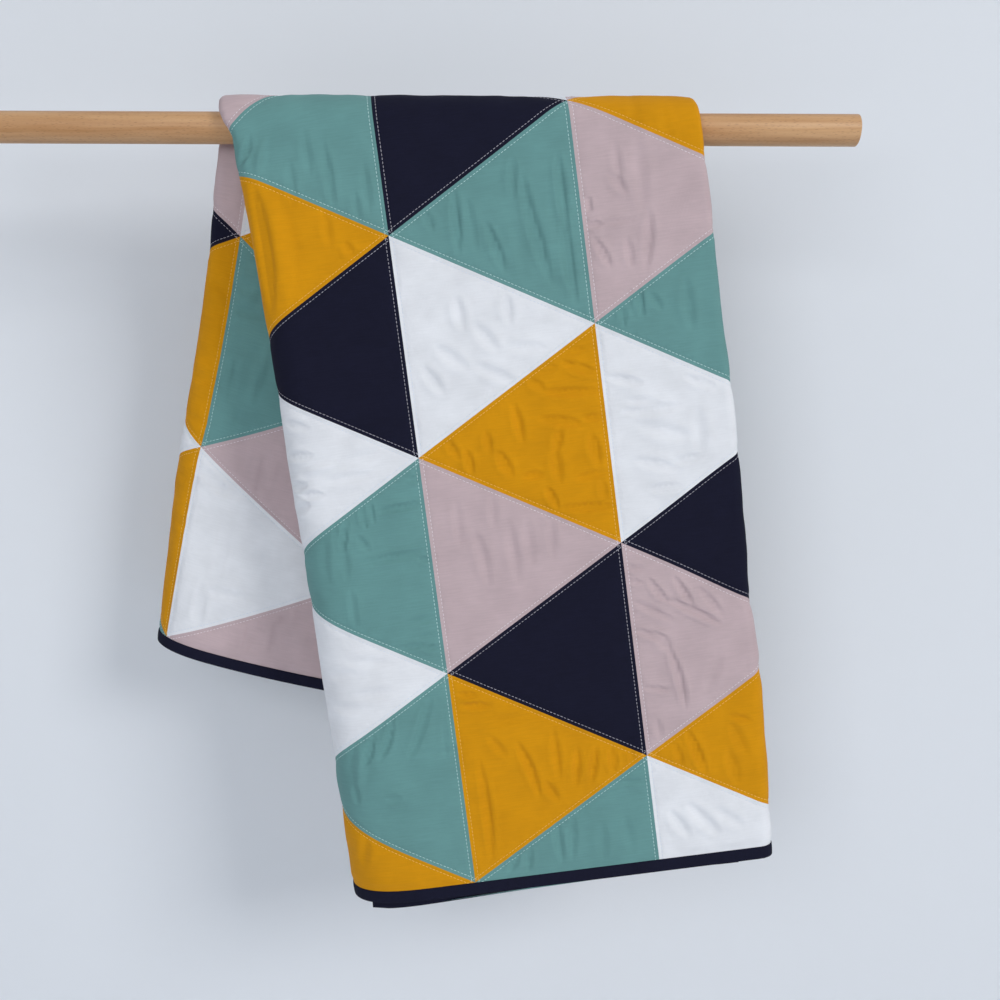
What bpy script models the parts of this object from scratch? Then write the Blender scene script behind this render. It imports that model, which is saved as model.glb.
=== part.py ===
"""Patchwork cot quilt, folded in thirds and hung askew over a round beech rod.

The rod lies along +X with the middle of its left end at the origin, +Z is up and -Y faces the
viewer. The quilt is one closed body: a folded section of three layers, swept over the rod and
down both sides, its patches a little thicker than the sewn lines between them. The binding is
a second body that wraps the quilt's four edges.
"""

from collections import namedtuple
from math import cos, pi, radians, sin, tan

import bmesh
import bpy
import numpy as np
from mathutils import Matrix

OBJECT_NAME = "quilt_on_rod"

# Rod
ROD_LENGTH = 0.800
ROD_DIAMETER = 0.025
ROD_SIDES = 48
ROD_EDGE = 0.0008

# Patchwork: equilateral triangles in columns that run the length of the quilt
PATCH_HEIGHT = 0.154
PATCH_SIDE = 2 * PATCH_HEIGHT / 3 ** 0.5
COLUMNS = 7
SIDES_LONG = 6.5
LAST_COLUMN_TRIM = 0.035
TOP_WIDTH = COLUMNS * PATCH_HEIGHT - LAST_COLUMN_TRIM
TOP_LENGTH = SIDES_LONG * PATCH_SIDE

# Cloth
SEAM_THICKNESS = 0.0022
PATCH_THICKNESS = 0.0040
PRESSED_THICKNESS = 0.0030
EDGE_THICKNESS = 0.0013
BINDING_WIDTH = 0.0095
BINDING_CLOTH = 0.0006
BINDING_GAP = 0.00035

# How the folded quilt lies over the rod
LAYER_PITCH = 0.0041
ROD_GAP = 0.0006
INNER_RADIUS = ROD_DIAMETER / 2 + ROD_GAP + PRESSED_THICKNESS / 2
OUTER_RADIUS = INNER_RADIUS + 2 * LAYER_PITCH
ASKEW = radians(7.5)
KEY_LINE = 3 * PATCH_HEIGHT
KEY_LINE_PLACE = 0.4057
FRONT_LENGTH = 3.71 * PATCH_SIDE
LEFT_FOLD = 2.21
RIGHT_FOLD = 4.67
MIDDLE_OF_FRONT = 4.0
LEFT_FLAP_SLIP = 0.012
RIGHT_FLAP_SLIP = 0.010

# Each row is a level on a drop. depth is measured down from the rod's sides and place is the
# fold's place in columns from the left edge. near and far are the lengths of cloth that make
# the first and second quarter of the turn, on the outer layer and on the flap, with how
# sharply each tightens. gap is the room from flap to outer layer and run is the length of
# cloth that brings the opened fold back to that gap.
Fold = namedtuple("Fold", "depth place near near_sharp far far_sharp gap run")

FRONT_LEFT = (
    Fold(0.000, LEFT_FOLD, 0.0064, 1.0, 0.0064, 1.0, 0.0082, 0.050),
    Fold(0.060, 2.232, 0.0300, 1.6, 0.0160, 1.0, 0.0105, 0.100),
    Fold(0.300, 2.225, 0.0600, 2.2, 0.0240, 1.0, 0.0150, 0.140),
    Fold(0.650, 2.195, 0.1100, 3.0, 0.0340, 1.0, 0.0240, 0.160),
)
FRONT_RIGHT = (
    Fold(0.000, RIGHT_FOLD, 0.0046, 1.0, 0.0046, 1.0, 0.0041, 0.030),
    Fold(0.060, 4.680, 0.0080, 1.0, 0.0050, 1.0, 0.0052, 0.026),
    Fold(0.350, 4.710, 0.0120, 1.1, 0.0065, 1.0, 0.0062, 0.030),
    Fold(0.650, 4.630, 0.0160, 1.2, 0.0080, 1.0, 0.0110, 0.034),
)
BACK_LEFT = (
    Fold(0.000, LEFT_FOLD, 0.0064, 1.0, 0.0064, 1.0, 0.0082, 0.050),
    Fold(0.060, 2.210, 0.0120, 1.0, 0.0140, 1.2, 0.0105, 0.080),
    Fold(0.250, 2.210, 0.0220, 1.0, 0.0360, 1.6, 0.0140, 0.120),
    Fold(0.500, 2.160, 0.0300, 1.0, 0.0900, 2.6, 0.0175, 0.150),
)
BACK_RIGHT = (
    Fold(0.000, RIGHT_FOLD, 0.0046, 1.0, 0.0046, 1.0, 0.0041, 0.030),
    Fold(0.060, 4.680, 0.0080, 1.0, 0.0050, 1.0, 0.0052, 0.026),
    Fold(0.500, 4.680, 0.0140, 1.2, 0.0080, 1.0, 0.0092, 0.034),
)

# How far the back drop stands off and swings left of the line straight down from the rod
Swing = namedtuple("Swing", "depth away left")
BACK_SWING = (
    Swing(0.00, 0.000, 0.000),
    Swing(0.05, 0.008, 0.004),
    Swing(0.15, 0.024, 0.016),
    Swing(0.28, 0.033, 0.029),
    Swing(0.46, 0.038, 0.036),
)
BACK_SHEAR = 0.190
BACK_SHEAR_START = 0.200
BACK_SHEAR_REACH = 0.250
BACK_SHEAR_PLACE = -0.121
BACK_TAKE_UP = 0.014
BACK_TAKE_UP_START = 0.060

# Fineness of the worked-out section and of the mesh
SECTION_STEPS = 1100
SECTION_OVERHANG = 0.004
LEVELS = 60
DEEPEST = 0.70
CELLS_PER_HEIGHT = 3
LEFT_FOLD_LINES = (-0.058, -0.030, -0.013, -0.006, -0.0025, 0, 0.0025, 0.006, 0.013, 0.030, 0.050)
RIGHT_FOLD_LINES = (-0.028, -0.012, -0.005, -0.002, 0, 0.002, 0.005, 0.012, 0.028)
RIGHT_EDGE_LINES = (-0.045, -0.016, -0.002)
CLOSEST_LINES = 0.004
WRAP_ROWS = 12
WRAP_HALF = 0.0365
LAST_FRONT_ROW = 19
FIRST_BACK_ROW = 25
ROWS_ABOVE_FRONT = (0.30, 0.60, 0.82)
ROWS_ABOVE_BACK = (0.18, 0.40, 0.70)

Finish = namedtuple("Finish", "name colour roughness")
BEECH = Finish("oiled_beech", (0.50, 0.32, 0.17), 0.55)
COTTON = Finish("pieced_cotton", (0.33, 0.50, 0.48), 0.85)
BINDING_COTTON = Finish("navy_binding_cotton", (0.012, 0.012, 0.020), 0.85)


def clear_scene():
    for existing in list(bpy.data.objects):
        bpy.data.objects.remove(existing, do_unlink=True)


def make_material(finish):
    material = bpy.data.materials.new(finish.name)
    material.use_nodes = True
    shader = material.node_tree.nodes["Principled BSDF"]
    shader.inputs["Base Color"].default_value = (*finish.colour, 1.0)
    shader.inputs["Roughness"].default_value = finish.roughness
    shader.inputs["Metallic"].default_value = 0.0
    return material


def make_object(name, bm, collection, finish):
    mesh = bpy.data.meshes.new(name)
    bm.to_mesh(mesh)
    bm.free()
    mesh.shade_smooth()
    mesh.set_sharp_from_angle(angle=radians(40))
    made = bpy.data.objects.new(name, mesh)
    mesh.materials.append(make_material(finish))
    collection.objects.link(made)
    return made


def ease(values):
    """Smooth step of values between 0 and 1."""
    values = np.clip(values, 0, 1)
    return values * values * (3 - 2 * values)


def at_depth(rows, depth, column):
    """Value of one column of a table at a depth, between its rows."""
    depths = [row.depth for row in rows]
    return np.interp(depth, depths, [getattr(row, column) for row in rows])


def turn_left_to_make(distance, reach, sharp):
    """Part of a quarter turn that is still to come at a distance from the fold."""
    return pi / 2 * np.clip(1 - distance / reach, 0, 1) ** sharp


def side_hump(distance, turning, run):
    """Rise and fall over a run of cloth that starts half way through a fold's turn."""
    return np.sin(pi * np.clip((distance - turning / 2) / run, 0, 1)) ** 2


def running_sum(values, step):
    return np.concatenate(([0.0], np.cumsum((values[1:] + values[:-1]) / 2 * step)))


class FoldedSection:
    """The quilt's cross section at one depth: three layers joined by two folds."""

    def __init__(self, left_rows, right_rows, depth, left_opens_on_flap):
        span = (-BINDING_WIDTH - SECTION_OVERHANG, TOP_WIDTH + BINDING_WIDTH + SECTION_OVERHANG)
        self.cloth = np.linspace(*span, SECTION_STEPS + 1)
        self.step = self.cloth[1] - self.cloth[0]
        self.left_opens_on_flap = left_opens_on_flap
        left = Fold(*(at_depth(left_rows, depth, name) for name in Fold._fields))
        right = Fold(*(at_depth(right_rows, depth, name) for name in Fold._fields))
        self.middle = np.searchsorted(self.cloth, MIDDLE_OF_FRONT * PATCH_HEIGHT)
        self.heading = self.close_left_fold(left, right)
        self.heading = self.close_right_fold(right)
        self.across = running_sum(np.cos(self.heading), self.step)
        self.across -= np.interp(KEY_LINE, self.cloth, self.across)
        self.offset = running_sum(np.sin(self.heading), self.step)
        self.offset -= self.offset[0]

    def folded_heading(self, left, right, lean=0.0):
        """Direction in which the cloth runs: left on the flaps and right on the outer layer."""
        from_left = self.cloth - left.place * PATCH_HEIGHT
        from_right = right.place * PATCH_HEIGHT - self.cloth
        right_turn = turn_left_to_make(from_right, right.near, right.near_sharp)
        right_flap_turn = turn_left_to_make(-from_right, right.far, right.far_sharp) - pi
        left_flap = pi - turn_left_to_make(-from_left, left.far, left.far_sharp)
        outer = turn_left_to_make(from_left, left.near, left.near_sharp)
        if self.left_opens_on_flap:
            left_flap = left_flap + lean * side_hump(-from_left, left.far, left.run)
        else:
            outer = outer - lean * side_hump(from_left, left.near, left.run)
        beside_right_flap = np.interp(2 * right.place * PATCH_HEIGHT - self.cloth, self.cloth, outer)
        heading = np.where(from_left < 0, left_flap, outer - right_turn)
        return np.where(from_right < 0, beside_right_flap + right_flap_turn, heading)

    def close_left_fold(self, left, right):
        """Lean the cloth beside the left fold until flap and outer layer are the gap apart."""
        least, most = -1.2, 1.6
        for _ in range(40):
            lean = (least + most) / 2
            heading = self.folded_heading(left, right, lean)
            offset = running_sum(np.sin(heading), self.step)
            if offset[self.middle] - offset[0] > left.gap:
                least = lean
            else:
                most = lean
        return heading

    def close_right_fold(self, right):
        """Lean the right flap beside its fold until it is the gap from the outer layer."""
        past_fold = self.cloth - right.place * PATCH_HEIGHT
        hump = side_hump(past_fold, right.far, right.run)
        facing_middle = np.searchsorted(
            self.cloth, 2 * right.place * PATCH_HEIGHT - self.cloth[self.middle])
        least, most = -1.2, 1.6
        for _ in range(40):
            lean = (least + most) / 2
            heading = self.heading - lean * hump
            offset = running_sum(np.sin(heading), self.step)
            if offset[self.middle] - offset[facing_middle] > right.gap:
                least = lean
            else:
                most = lean
        return heading


class Drop:
    """Sections at every depth of one side of the hanging quilt."""

    def __init__(self, left_rows, right_rows, left_opens_on_flap):
        depths = np.linspace(0, DEEPEST, LEVELS)
        sections = [FoldedSection(left_rows, right_rows, depth, left_opens_on_flap)
                    for depth in depths]
        self.cloth = sections[0].cloth
        self.across = np.array([section.across for section in sections])
        self.offset = np.array([section.offset for section in sections])

    def find(self, cloth, depth):
        """Place across the folded quilt, and offset from its inner layer."""
        row = np.clip(depth / DEEPEST * (LEVELS - 1), 0, LEVELS - 1.001)
        start, end = self.cloth[0], self.cloth[-1]
        column = np.clip((cloth - start) / (end - start) * SECTION_STEPS, 0, SECTION_STEPS - 0.001)
        i, j = row.astype(int), column.astype(int)
        down, along = row - i, column - j

        def blend(table):
            upper = table[i, j] * (1 - along) + table[i, j + 1] * along
            lower = table[i + 1, j] * (1 - along) + table[i + 1, j + 1] * along
            return upper * (1 - down) + lower * down

        return blend(self.across), blend(self.offset)


FRONT = Drop(FRONT_LEFT, FRONT_RIGHT, True)
BACK = Drop(BACK_LEFT, BACK_RIGHT, False)


def flap_slip(cloth):
    """How much lower a flap hangs than the outer layer, growing from its fold to its edge."""
    left_width = LEFT_FOLD * PATCH_HEIGHT
    right_width = TOP_WIDTH - RIGHT_FOLD * PATCH_HEIGHT
    left_part = np.clip((left_width - cloth) / left_width, 0, 1)
    right_part = np.clip((cloth - TOP_WIDTH + right_width) / right_width, 0, 1)
    return LEFT_FLAP_SLIP * left_part + RIGHT_FLAP_SLIP * right_part


def crest_along(cloth):
    """Distance from the front hem at which the cloth crosses the top of the rod."""
    across, _ = FRONT.find(cloth, np.zeros_like(cloth))
    return FRONT_LENGTH - across * tan(ASKEW)


def hang(cloth, along):
    """Place of the quilt's middle surface, from its distances across and along the quilt."""
    cloth, along = np.broadcast_arrays(np.asarray(cloth, float), np.asarray(along, float))
    flat_across, flat_offset = FRONT.find(cloth, np.zeros_like(cloth))
    to_front = (FRONT_LENGTH - along) * cos(ASKEW) - flat_across * sin(ASKEW)
    quarter = pi / 2 * OUTER_RADIUS - flap_slip(cloth)
    depth = np.maximum(np.abs(to_front) - quarter, 0)
    in_front = to_front > 0
    hanging = depth > 0

    front_across, front_offset = FRONT.find(cloth, depth)
    back_across, back_offset = BACK.find(cloth, depth)
    across = np.where(in_front, front_across, back_across)
    offset = np.where(in_front, front_offset, back_offset)
    behind = np.where(in_front, 0, depth)
    away = at_depth(BACK_SWING, behind, "away")

    radius = INNER_RADIUS + flat_offset
    angle = np.clip(to_front / quarter, -1, 1) * pi / 2
    x = KEY_LINE_PLACE + across * cos(ASKEW) + (FRONT_LENGTH - along) * sin(ASKEW)
    y = np.where(hanging, np.where(in_front, -1, 1) * (INNER_RADIUS + offset + away),
                 -radius * np.sin(angle))
    level = (FRONT_LENGTH - along) * cos(ASKEW) - across * sin(ASKEW)
    z = np.where(hanging, quarter - np.abs(level), radius * np.cos(angle))

    x = x - at_depth(BACK_SWING, behind, "left")
    past_fold = np.maximum(across - BACK_SHEAR_PLACE, 0)
    shear = BACK_SHEAR * past_fold * np.exp(-past_fold / BACK_SHEAR_REACH)
    z = z + BACK_TAKE_UP * ease(behind / BACK_TAKE_UP_START) - shear * ease(behind / BACK_SHEAR_START)
    return np.stack([x, y, z], axis=-1)


def facing(cloth, along):
    """Unit direction out of the patchwork side of the hanging quilt."""
    reach = 0.0008
    cloth, along = np.broadcast_arrays(np.asarray(cloth, float), np.asarray(along, float))
    over = hang(cloth + reach, along) - hang(cloth - reach, along)
    up = hang(cloth, along + reach) - hang(cloth, along - reach)
    normal = np.cross(over, up)
    return normal / np.linalg.norm(normal, axis=-1, keepdims=True)


def seam_nearness(cloth, along):
    """0 on a sewn line of the patchwork and 1 in the middle of a patch."""
    column = cloth / PATCH_HEIGHT
    side = along / PATCH_SIDE
    families = (column, side - column / 2 - 0.5, side + column / 2 - 0.5)
    nearest = np.min([np.abs(family - np.round(family)) for family in families], axis=0)
    return np.clip(nearest * 3, 0, 1)


def cloth_lines():
    """Places across the quilt of the mesh's lines: the seams, thirds between them, the folds."""
    folds = [LEFT_FOLD * PATCH_HEIGHT + line for line in LEFT_FOLD_LINES]
    folds += [RIGHT_FOLD * PATCH_HEIGHT + line for line in RIGHT_FOLD_LINES]
    even = np.arange(COLUMNS * CELLS_PER_HEIGHT) * PATCH_HEIGHT / CELLS_PER_HEIGHT
    clear = [line for line in even if min(abs(line - fold) for fold in folds) > CLOSEST_LINES]
    edges = [-BINDING_WIDTH, TOP_WIDTH, TOP_WIDTH + BINDING_WIDTH]
    edges += [TOP_WIDTH + line for line in RIGHT_EDGE_LINES]
    return np.array(sorted(clear + folds + edges))


def row_places(cloth):
    """Places along the quilt of the mesh's rows, which follow the rod where they cross it."""
    step = PATCH_SIDE / (2 * CELLS_PER_HEIGHT)
    crest = crest_along(cloth)
    wrap_front = crest - WRAP_HALF
    wrap_back = crest + WRAP_HALF
    front_row = LAST_FRONT_ROW * step + 0 * cloth
    back_row = FIRST_BACK_ROW * step + 0 * cloth
    last_row = round(SIDES_LONG * 2 * CELLS_PER_HEIGHT)
    rows = [-BINDING_WIDTH + 0 * cloth]
    rows += [row * step + 0 * cloth for row in range(LAST_FRONT_ROW + 1)]
    rows += [front_row + (wrap_front - front_row) * part for part in ROWS_ABOVE_FRONT]
    rows += [wrap_front + 2 * WRAP_HALF * row / WRAP_ROWS for row in range(WRAP_ROWS + 1)]
    rows += [wrap_back + (back_row - wrap_back) * part for part in ROWS_ABOVE_BACK]
    rows += [row * step + 0 * cloth for row in range(FIRST_BACK_ROW, last_row + 1)]
    rows += [TOP_LENGTH + BINDING_WIDTH + 0 * cloth]
    return np.array(rows)


def cloth_thickness(cloth, along):
    """Thick in the patches, thin on the seams and the bound edges, pressed on the rod."""
    loft = PATCH_THICKNESS - SEAM_THICKNESS
    thickness = SEAM_THICKNESS + loft * seam_nearness(cloth, along)
    to_edge = np.min([cloth, TOP_WIDTH - cloth, along, TOP_LENGTH - along], axis=0)
    thickness = np.where(to_edge < CLOSEST_LINES, EDGE_THICKNESS, thickness)
    from_wrap = (np.abs(along - crest_along(cloth)) - WRAP_HALF) / WRAP_HALF
    most = PRESSED_THICKNESS + (PATCH_THICKNESS - PRESSED_THICKNESS) * ease(from_wrap)
    return np.minimum(thickness, most)


def seam_rises(cloth, along):
    """Whether the slanted seams in this cell climb from left to right."""
    column = int(np.floor(cloth / PATCH_HEIGHT))
    half_side = int(np.floor(2 * along / PATCH_SIDE))
    return (column + half_side) % 2 == 1


def build_quilt(collection):
    lines = cloth_lines()
    rows = row_places(lines)
    cloth = np.broadcast_to(lines, rows.shape)
    places = hang(cloth, rows)
    thickness = cloth_thickness(cloth, rows)
    row_count, line_count = rows.shape

    bm = bmesh.new()
    bmesh.ops.create_grid(bm, x_segments=line_count - 1, y_segments=row_count - 1, size=0.5)
    bm.verts.ensure_lookup_table()
    share = bm.verts.layers.deform.verify()
    index = {}
    for vert in bm.verts:
        line = round((vert.co.x + 0.5) * (line_count - 1))
        row = round((vert.co.y + 0.5) * (row_count - 1))
        index[vert] = (row, line)
    for vert, (row, line) in index.items():
        vert.co = places[row, line]
        vert[share][0] = thickness[row, line] / PATCH_THICKNESS
    for face in list(bm.faces):
        corners = sorted(face.verts, key=index.get)
        low_left, low_right, high_left, high_right = corners
        middle_cloth = np.mean([cloth[index[vert]] for vert in corners])
        middle_along = np.mean([rows[index[vert]] for vert in corners])
        if seam_rises(middle_cloth, middle_along):
            bmesh.utils.face_split(face, low_left, high_right)
        else:
            bmesh.utils.face_split(face, low_right, high_left)

    quilt = make_object("quilt", bm, collection, COTTON)
    quilt.vertex_groups.new(name="thickness")
    solidify = quilt.modifiers.new("cloth", "SOLIDIFY")
    solidify.thickness = PATCH_THICKNESS
    solidify.offset = 0.0
    solidify.vertex_group = "thickness"
    solidify.thickness_vertex_group = 0.0
    solidify.use_rim = True
    return quilt


def binding_section():
    """Folded strip that wraps an edge: outward from the cloth's edge, and off its middle."""
    inside = EDGE_THICKNESS / 2 + BINDING_GAP
    outside = inside + BINDING_CLOTH
    tip = BINDING_GAP + BINDING_CLOTH
    return (
        (-BINDING_WIDTH, -outside),
        (BINDING_GAP, -outside),
        (tip, -inside),
        (tip, inside),
        (BINDING_GAP, outside),
        (-BINDING_WIDTH, outside),
        (-BINDING_WIDTH, inside),
        (BINDING_GAP, inside),
        (BINDING_GAP, -inside),
        (-BINDING_WIDTH, -inside),
    )


def binding_stations():
    """Places round the quilt's edge, each with its outward direction in the cloth."""
    lines = cloth_lines()
    left, right = lines[0], lines[-1]
    front, back = -BINDING_WIDTH, TOP_LENGTH + BINDING_WIDTH
    inner_lines = [line for line in lines[2:-2]]
    left_rows = row_places(lines[:1])[2:-2, 0]
    right_rows = row_places(lines[-1:])[2:-2, 0]
    stations = [(left, front, -1, -1)]
    stations += [(line, front, 0, -1) for line in inner_lines]
    stations += [(right, front, 1, -1)]
    stations += [(right, row, 1, 0) for row in right_rows]
    stations += [(right, back, 1, 1)]
    stations += [(line, back, 0, 1) for line in reversed(inner_lines)]
    stations += [(left, back, -1, 1)]
    stations += [(left, row, -1, 0) for row in reversed(left_rows)]
    return np.array(stations)


def build_binding(collection):
    """A closed loft of the folded strip round all four edges."""
    stations = binding_stations()
    profile = np.array(binding_section())
    outward, off = profile[:, 0], profile[:, 1]
    cloth = stations[:, 0:1] + stations[:, 2:3] * outward
    along = stations[:, 1:2] + stations[:, 3:4] * outward
    places = hang(cloth, along) + facing(cloth, along) * off[:, None]

    bm = bmesh.new()
    rings = [[bm.verts.new(place) for place in ring] for ring in places]
    for ring, following in zip(rings, rings[1:] + rings[:1]):
        for side in range(len(profile)):
            beside = (side + 1) % len(profile)
            bm.faces.new((ring[side], ring[beside], following[beside], following[side]))
    bmesh.ops.recalc_face_normals(bm, faces=bm.faces)
    return make_object("binding", bm, collection, BINDING_COTTON)


def build_rod(collection):
    bm = bmesh.new()
    lay_along_x = Matrix.Rotation(pi / 2, 4, "Y")
    bmesh.ops.create_cone(bm, cap_ends=True, segments=ROD_SIDES, radius1=ROD_DIAMETER / 2,
                          radius2=ROD_DIAMETER / 2, depth=ROD_LENGTH, matrix=lay_along_x)
    rims = [edge for edge in bm.edges if abs(edge.verts[0].co.x - edge.verts[1].co.x) < ROD_EDGE]
    bmesh.ops.bevel(bm, geom=rims, offset=ROD_EDGE, segments=1, affect="EDGES")
    rod = make_object("rod", bm, collection, BEECH)
    rod.location = (ROD_LENGTH / 2, 0, 0)
    return rod


def main():
    clear_scene()
    collection = bpy.data.collections.new(OBJECT_NAME)
    bpy.context.scene.collection.children.link(collection)
    build_rod(collection)
    build_quilt(collection)
    build_binding(collection)


if __name__ == "__main__":
    main()
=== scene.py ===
"""Patchwork cot quilt, folded in thirds and hung askew over a round beech rod: its looks.

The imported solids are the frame. The quilt's cloth follows the same folds as its solid, and gets
its patches, puffed loft, creases, topstitching and rounded binding here. The rod is turned again
with a finer outline. Lengths are in metres.
"""

from collections import namedtuple
from math import cos, pi, radians, sin, tan

import bmesh
import bpy
import numpy as np
from bpy.props import FloatProperty, FloatVectorProperty, IntProperty, PointerProperty
from mathutils import Matrix, Vector
from mathutils.bvhtree import BVHTree


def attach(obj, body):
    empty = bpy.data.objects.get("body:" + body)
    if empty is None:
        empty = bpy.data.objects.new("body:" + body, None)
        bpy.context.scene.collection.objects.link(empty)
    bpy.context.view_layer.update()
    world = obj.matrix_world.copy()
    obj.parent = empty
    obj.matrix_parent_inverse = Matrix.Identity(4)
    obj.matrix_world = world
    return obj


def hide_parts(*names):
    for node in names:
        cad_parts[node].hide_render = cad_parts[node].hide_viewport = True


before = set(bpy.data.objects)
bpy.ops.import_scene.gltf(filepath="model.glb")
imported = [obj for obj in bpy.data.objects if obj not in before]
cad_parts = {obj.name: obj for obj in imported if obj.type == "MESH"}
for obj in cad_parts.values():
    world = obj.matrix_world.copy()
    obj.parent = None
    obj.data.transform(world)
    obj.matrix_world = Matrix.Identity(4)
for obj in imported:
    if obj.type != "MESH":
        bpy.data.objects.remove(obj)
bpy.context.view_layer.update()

bl_info = {
    "name": "Patchwork quilt on a rod",
    "version": (1, 0, 0),
    "blender": (4, 5, 0),
    "location": "View3D > Sidebar > Quilt",
    "description": "Makes a folded patchwork quilt with its stitching, binding and beech rod",
    "category": "Add Mesh",
}

# Millimetres in a metre
MM = 1000

# Patchwork: equilateral triangles in columns that run the length of the quilt
PATCH_HEIGHT = 0.154
PATCH_SIDE = 2 * PATCH_HEIGHT / 3 ** 0.5
COLUMNS = 7
SIDES_LONG = 6.5
LAST_COLUMN_TRIM = 0.035
TOP_WIDTH = COLUMNS * PATCH_HEIGHT - LAST_COLUMN_TRIM
TOP_LENGTH = SIDES_LONG * PATCH_SIDE
BINDING_WIDTH = 0.0095
FLAT_SIZE = (TOP_WIDTH + 2 * BINDING_WIDTH, TOP_LENGTH + 2 * BINDING_WIDTH)

# How the folded quilt lies over the rod, as in its solid
ROD_DIAMETER = 0.025
ROD_LENGTH = 0.800
LAYER_PITCH = 0.0041
ROD_CLEARANCE = 0.0006
PRESSED_THICKNESS = 0.0030
INNER_RADIUS = ROD_DIAMETER / 2 + ROD_CLEARANCE + PRESSED_THICKNESS / 2
OUTER_RADIUS = INNER_RADIUS + 2 * LAYER_PITCH
ASKEW = radians(7.5)
KEY_LINE = 3 * PATCH_HEIGHT
KEY_LINE_PLACE = 0.4057
FRONT_LENGTH = 3.71 * PATCH_SIDE
LEFT_FOLD = 2.21
RIGHT_FOLD = 4.67
MIDDLE_OF_FRONT = 4.0
LEFT_FLAP_SLIP = 0.012
RIGHT_FLAP_SLIP = 0.010

# Levels of each drop: depth below the rod, the fold's place in columns, the cloth that makes
# each half of its turn and how sharply, the room from flap to outer layer, and the run of cloth
# that brings the opened fold back to that room
Fold = namedtuple("Fold", "depth place near near_sharp far far_sharp gap run")
FRONT_LEFT = (
    Fold(0.000, LEFT_FOLD, 0.0064, 1.0, 0.0064, 1.0, 0.0082, 0.050),
    Fold(0.060, 2.232, 0.0300, 1.6, 0.0160, 1.0, 0.0105, 0.100),
    Fold(0.300, 2.225, 0.0600, 2.2, 0.0240, 1.0, 0.0150, 0.140),
    Fold(0.650, 2.195, 0.1100, 3.0, 0.0340, 1.0, 0.0240, 0.160),
)
FRONT_RIGHT = (
    Fold(0.000, RIGHT_FOLD, 0.0046, 1.0, 0.0046, 1.0, 0.0041, 0.030),
    Fold(0.060, 4.680, 0.0080, 1.0, 0.0050, 1.0, 0.0052, 0.026),
    Fold(0.350, 4.710, 0.0120, 1.1, 0.0065, 1.0, 0.0062, 0.030),
    Fold(0.650, 4.630, 0.0160, 1.2, 0.0080, 1.0, 0.0110, 0.034),
)
BACK_LEFT = (
    Fold(0.000, LEFT_FOLD, 0.0064, 1.0, 0.0064, 1.0, 0.0082, 0.050),
    Fold(0.060, 2.210, 0.0120, 1.0, 0.0140, 1.2, 0.0105, 0.080),
    Fold(0.250, 2.210, 0.0220, 1.0, 0.0360, 1.6, 0.0140, 0.120),
    Fold(0.500, 2.160, 0.0300, 1.0, 0.0900, 2.6, 0.0175, 0.150),
)
BACK_RIGHT = (
    Fold(0.000, RIGHT_FOLD, 0.0046, 1.0, 0.0046, 1.0, 0.0041, 0.030),
    Fold(0.060, 4.680, 0.0080, 1.0, 0.0050, 1.0, 0.0052, 0.026),
    Fold(0.500, 4.680, 0.0140, 1.2, 0.0080, 1.0, 0.0092, 0.034),
)
Swing = namedtuple("Swing", "depth away left")
BACK_SWING = (
    Swing(0.00, 0.000, 0.000),
    Swing(0.05, 0.008, 0.004),
    Swing(0.15, 0.024, 0.016),
    Swing(0.28, 0.033, 0.029),
    Swing(0.46, 0.038, 0.036),
)
BACK_SHEAR = 0.190
BACK_SHEAR_START = 0.200
BACK_SHEAR_REACH = 0.250
BACK_SHEAR_PLACE = -0.121
BACK_TAKE_UP = 0.014
BACK_TAKE_UP_START = 0.060
# How far the edges of the folds stand to the right of their line, by depth: the front's left
# edge, its right edge and the back drop's left edge
Nip = namedtuple("Nip", "depth right")
NIPS = [Nip(*row) for row in (
    (-0.01, 0.0), (0.0, 0.0035), (0.012, 0.008), (0.022, 0.007), (0.042, 0.0005), (0.065, -0.0022),
    (0.1, 0.0),
)]
RIGHT_NIPS = [Nip(*row) for row in (
    (0.09, 0.0), (0.143, -0.0022), (0.2, -0.0008), (0.25, -0.0012), (0.314, -0.0036),
    (0.36, -0.0058), (0.385, -0.0048), (0.43, -0.0008), (0.465, 0.0),
)]
BACK_NIPS = [Nip(*row) for row in (
    (0.06, 0.0), (0.1, 0.0022), (0.15, 0.0034), (0.19, 0.0034), (0.25, 0.0012), (0.3, 0.001),
    (0.45, 0.0016),
)]
# Where cloth has slid down beside the left fold: how far, how wide, and its place in sides
Slip = namedtuple("Slip", "amount reach side")
FOLD_SLIPS = (Slip(0.011, 0.065, 3.68), Slip(0.004, 0.014, 3.395))
SLIP_RUN = 0.030
NIP_PLACE = 0.275
NIP_SPREAD = 0.030
NIP_FRONT = 0.012
EDGE_SPREAD = 0.045
SECTION_STEPS = 1100
SECTION_OVERHANG = 0.004
LEVELS = 60
LEAN_RANGE = (-1.2, 1.6)
LEAN_TRIALS = 40
DEEPEST = 0.70

# Fineness of the cloth: points along a seam, and inside a patch where it is seen close up, only
# from behind, or hidden in the folds. Then rings inside the seams, and extra lines where the
# cloth bends sharply: first, last and step
SEAM_POINTS = 60
SEEN_POINTS = 60
BEHIND_POINTS = 30
HIDDEN_POINTS = 10
BACKING_POINTS = 6
SEAM_RINGS = (0.0, 0.0016, 0.0038)
LEFT_BEND_LINES = (0.3290, 0.3500, 0.0035)
RIGHT_BEND_LINES = (0.7065, 0.7320, 0.0028)
WRAP_BEND_STEP = 0.0066
BEND_MARGIN = 0.012
COARSE_FACE = 9e-6
MERGED = 1e-6
ON_LINE = 1e-5
HEM_MARGIN = 0.002
NORMAL_STEP = 0.0005
FACING_STEP = 0.0008

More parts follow.
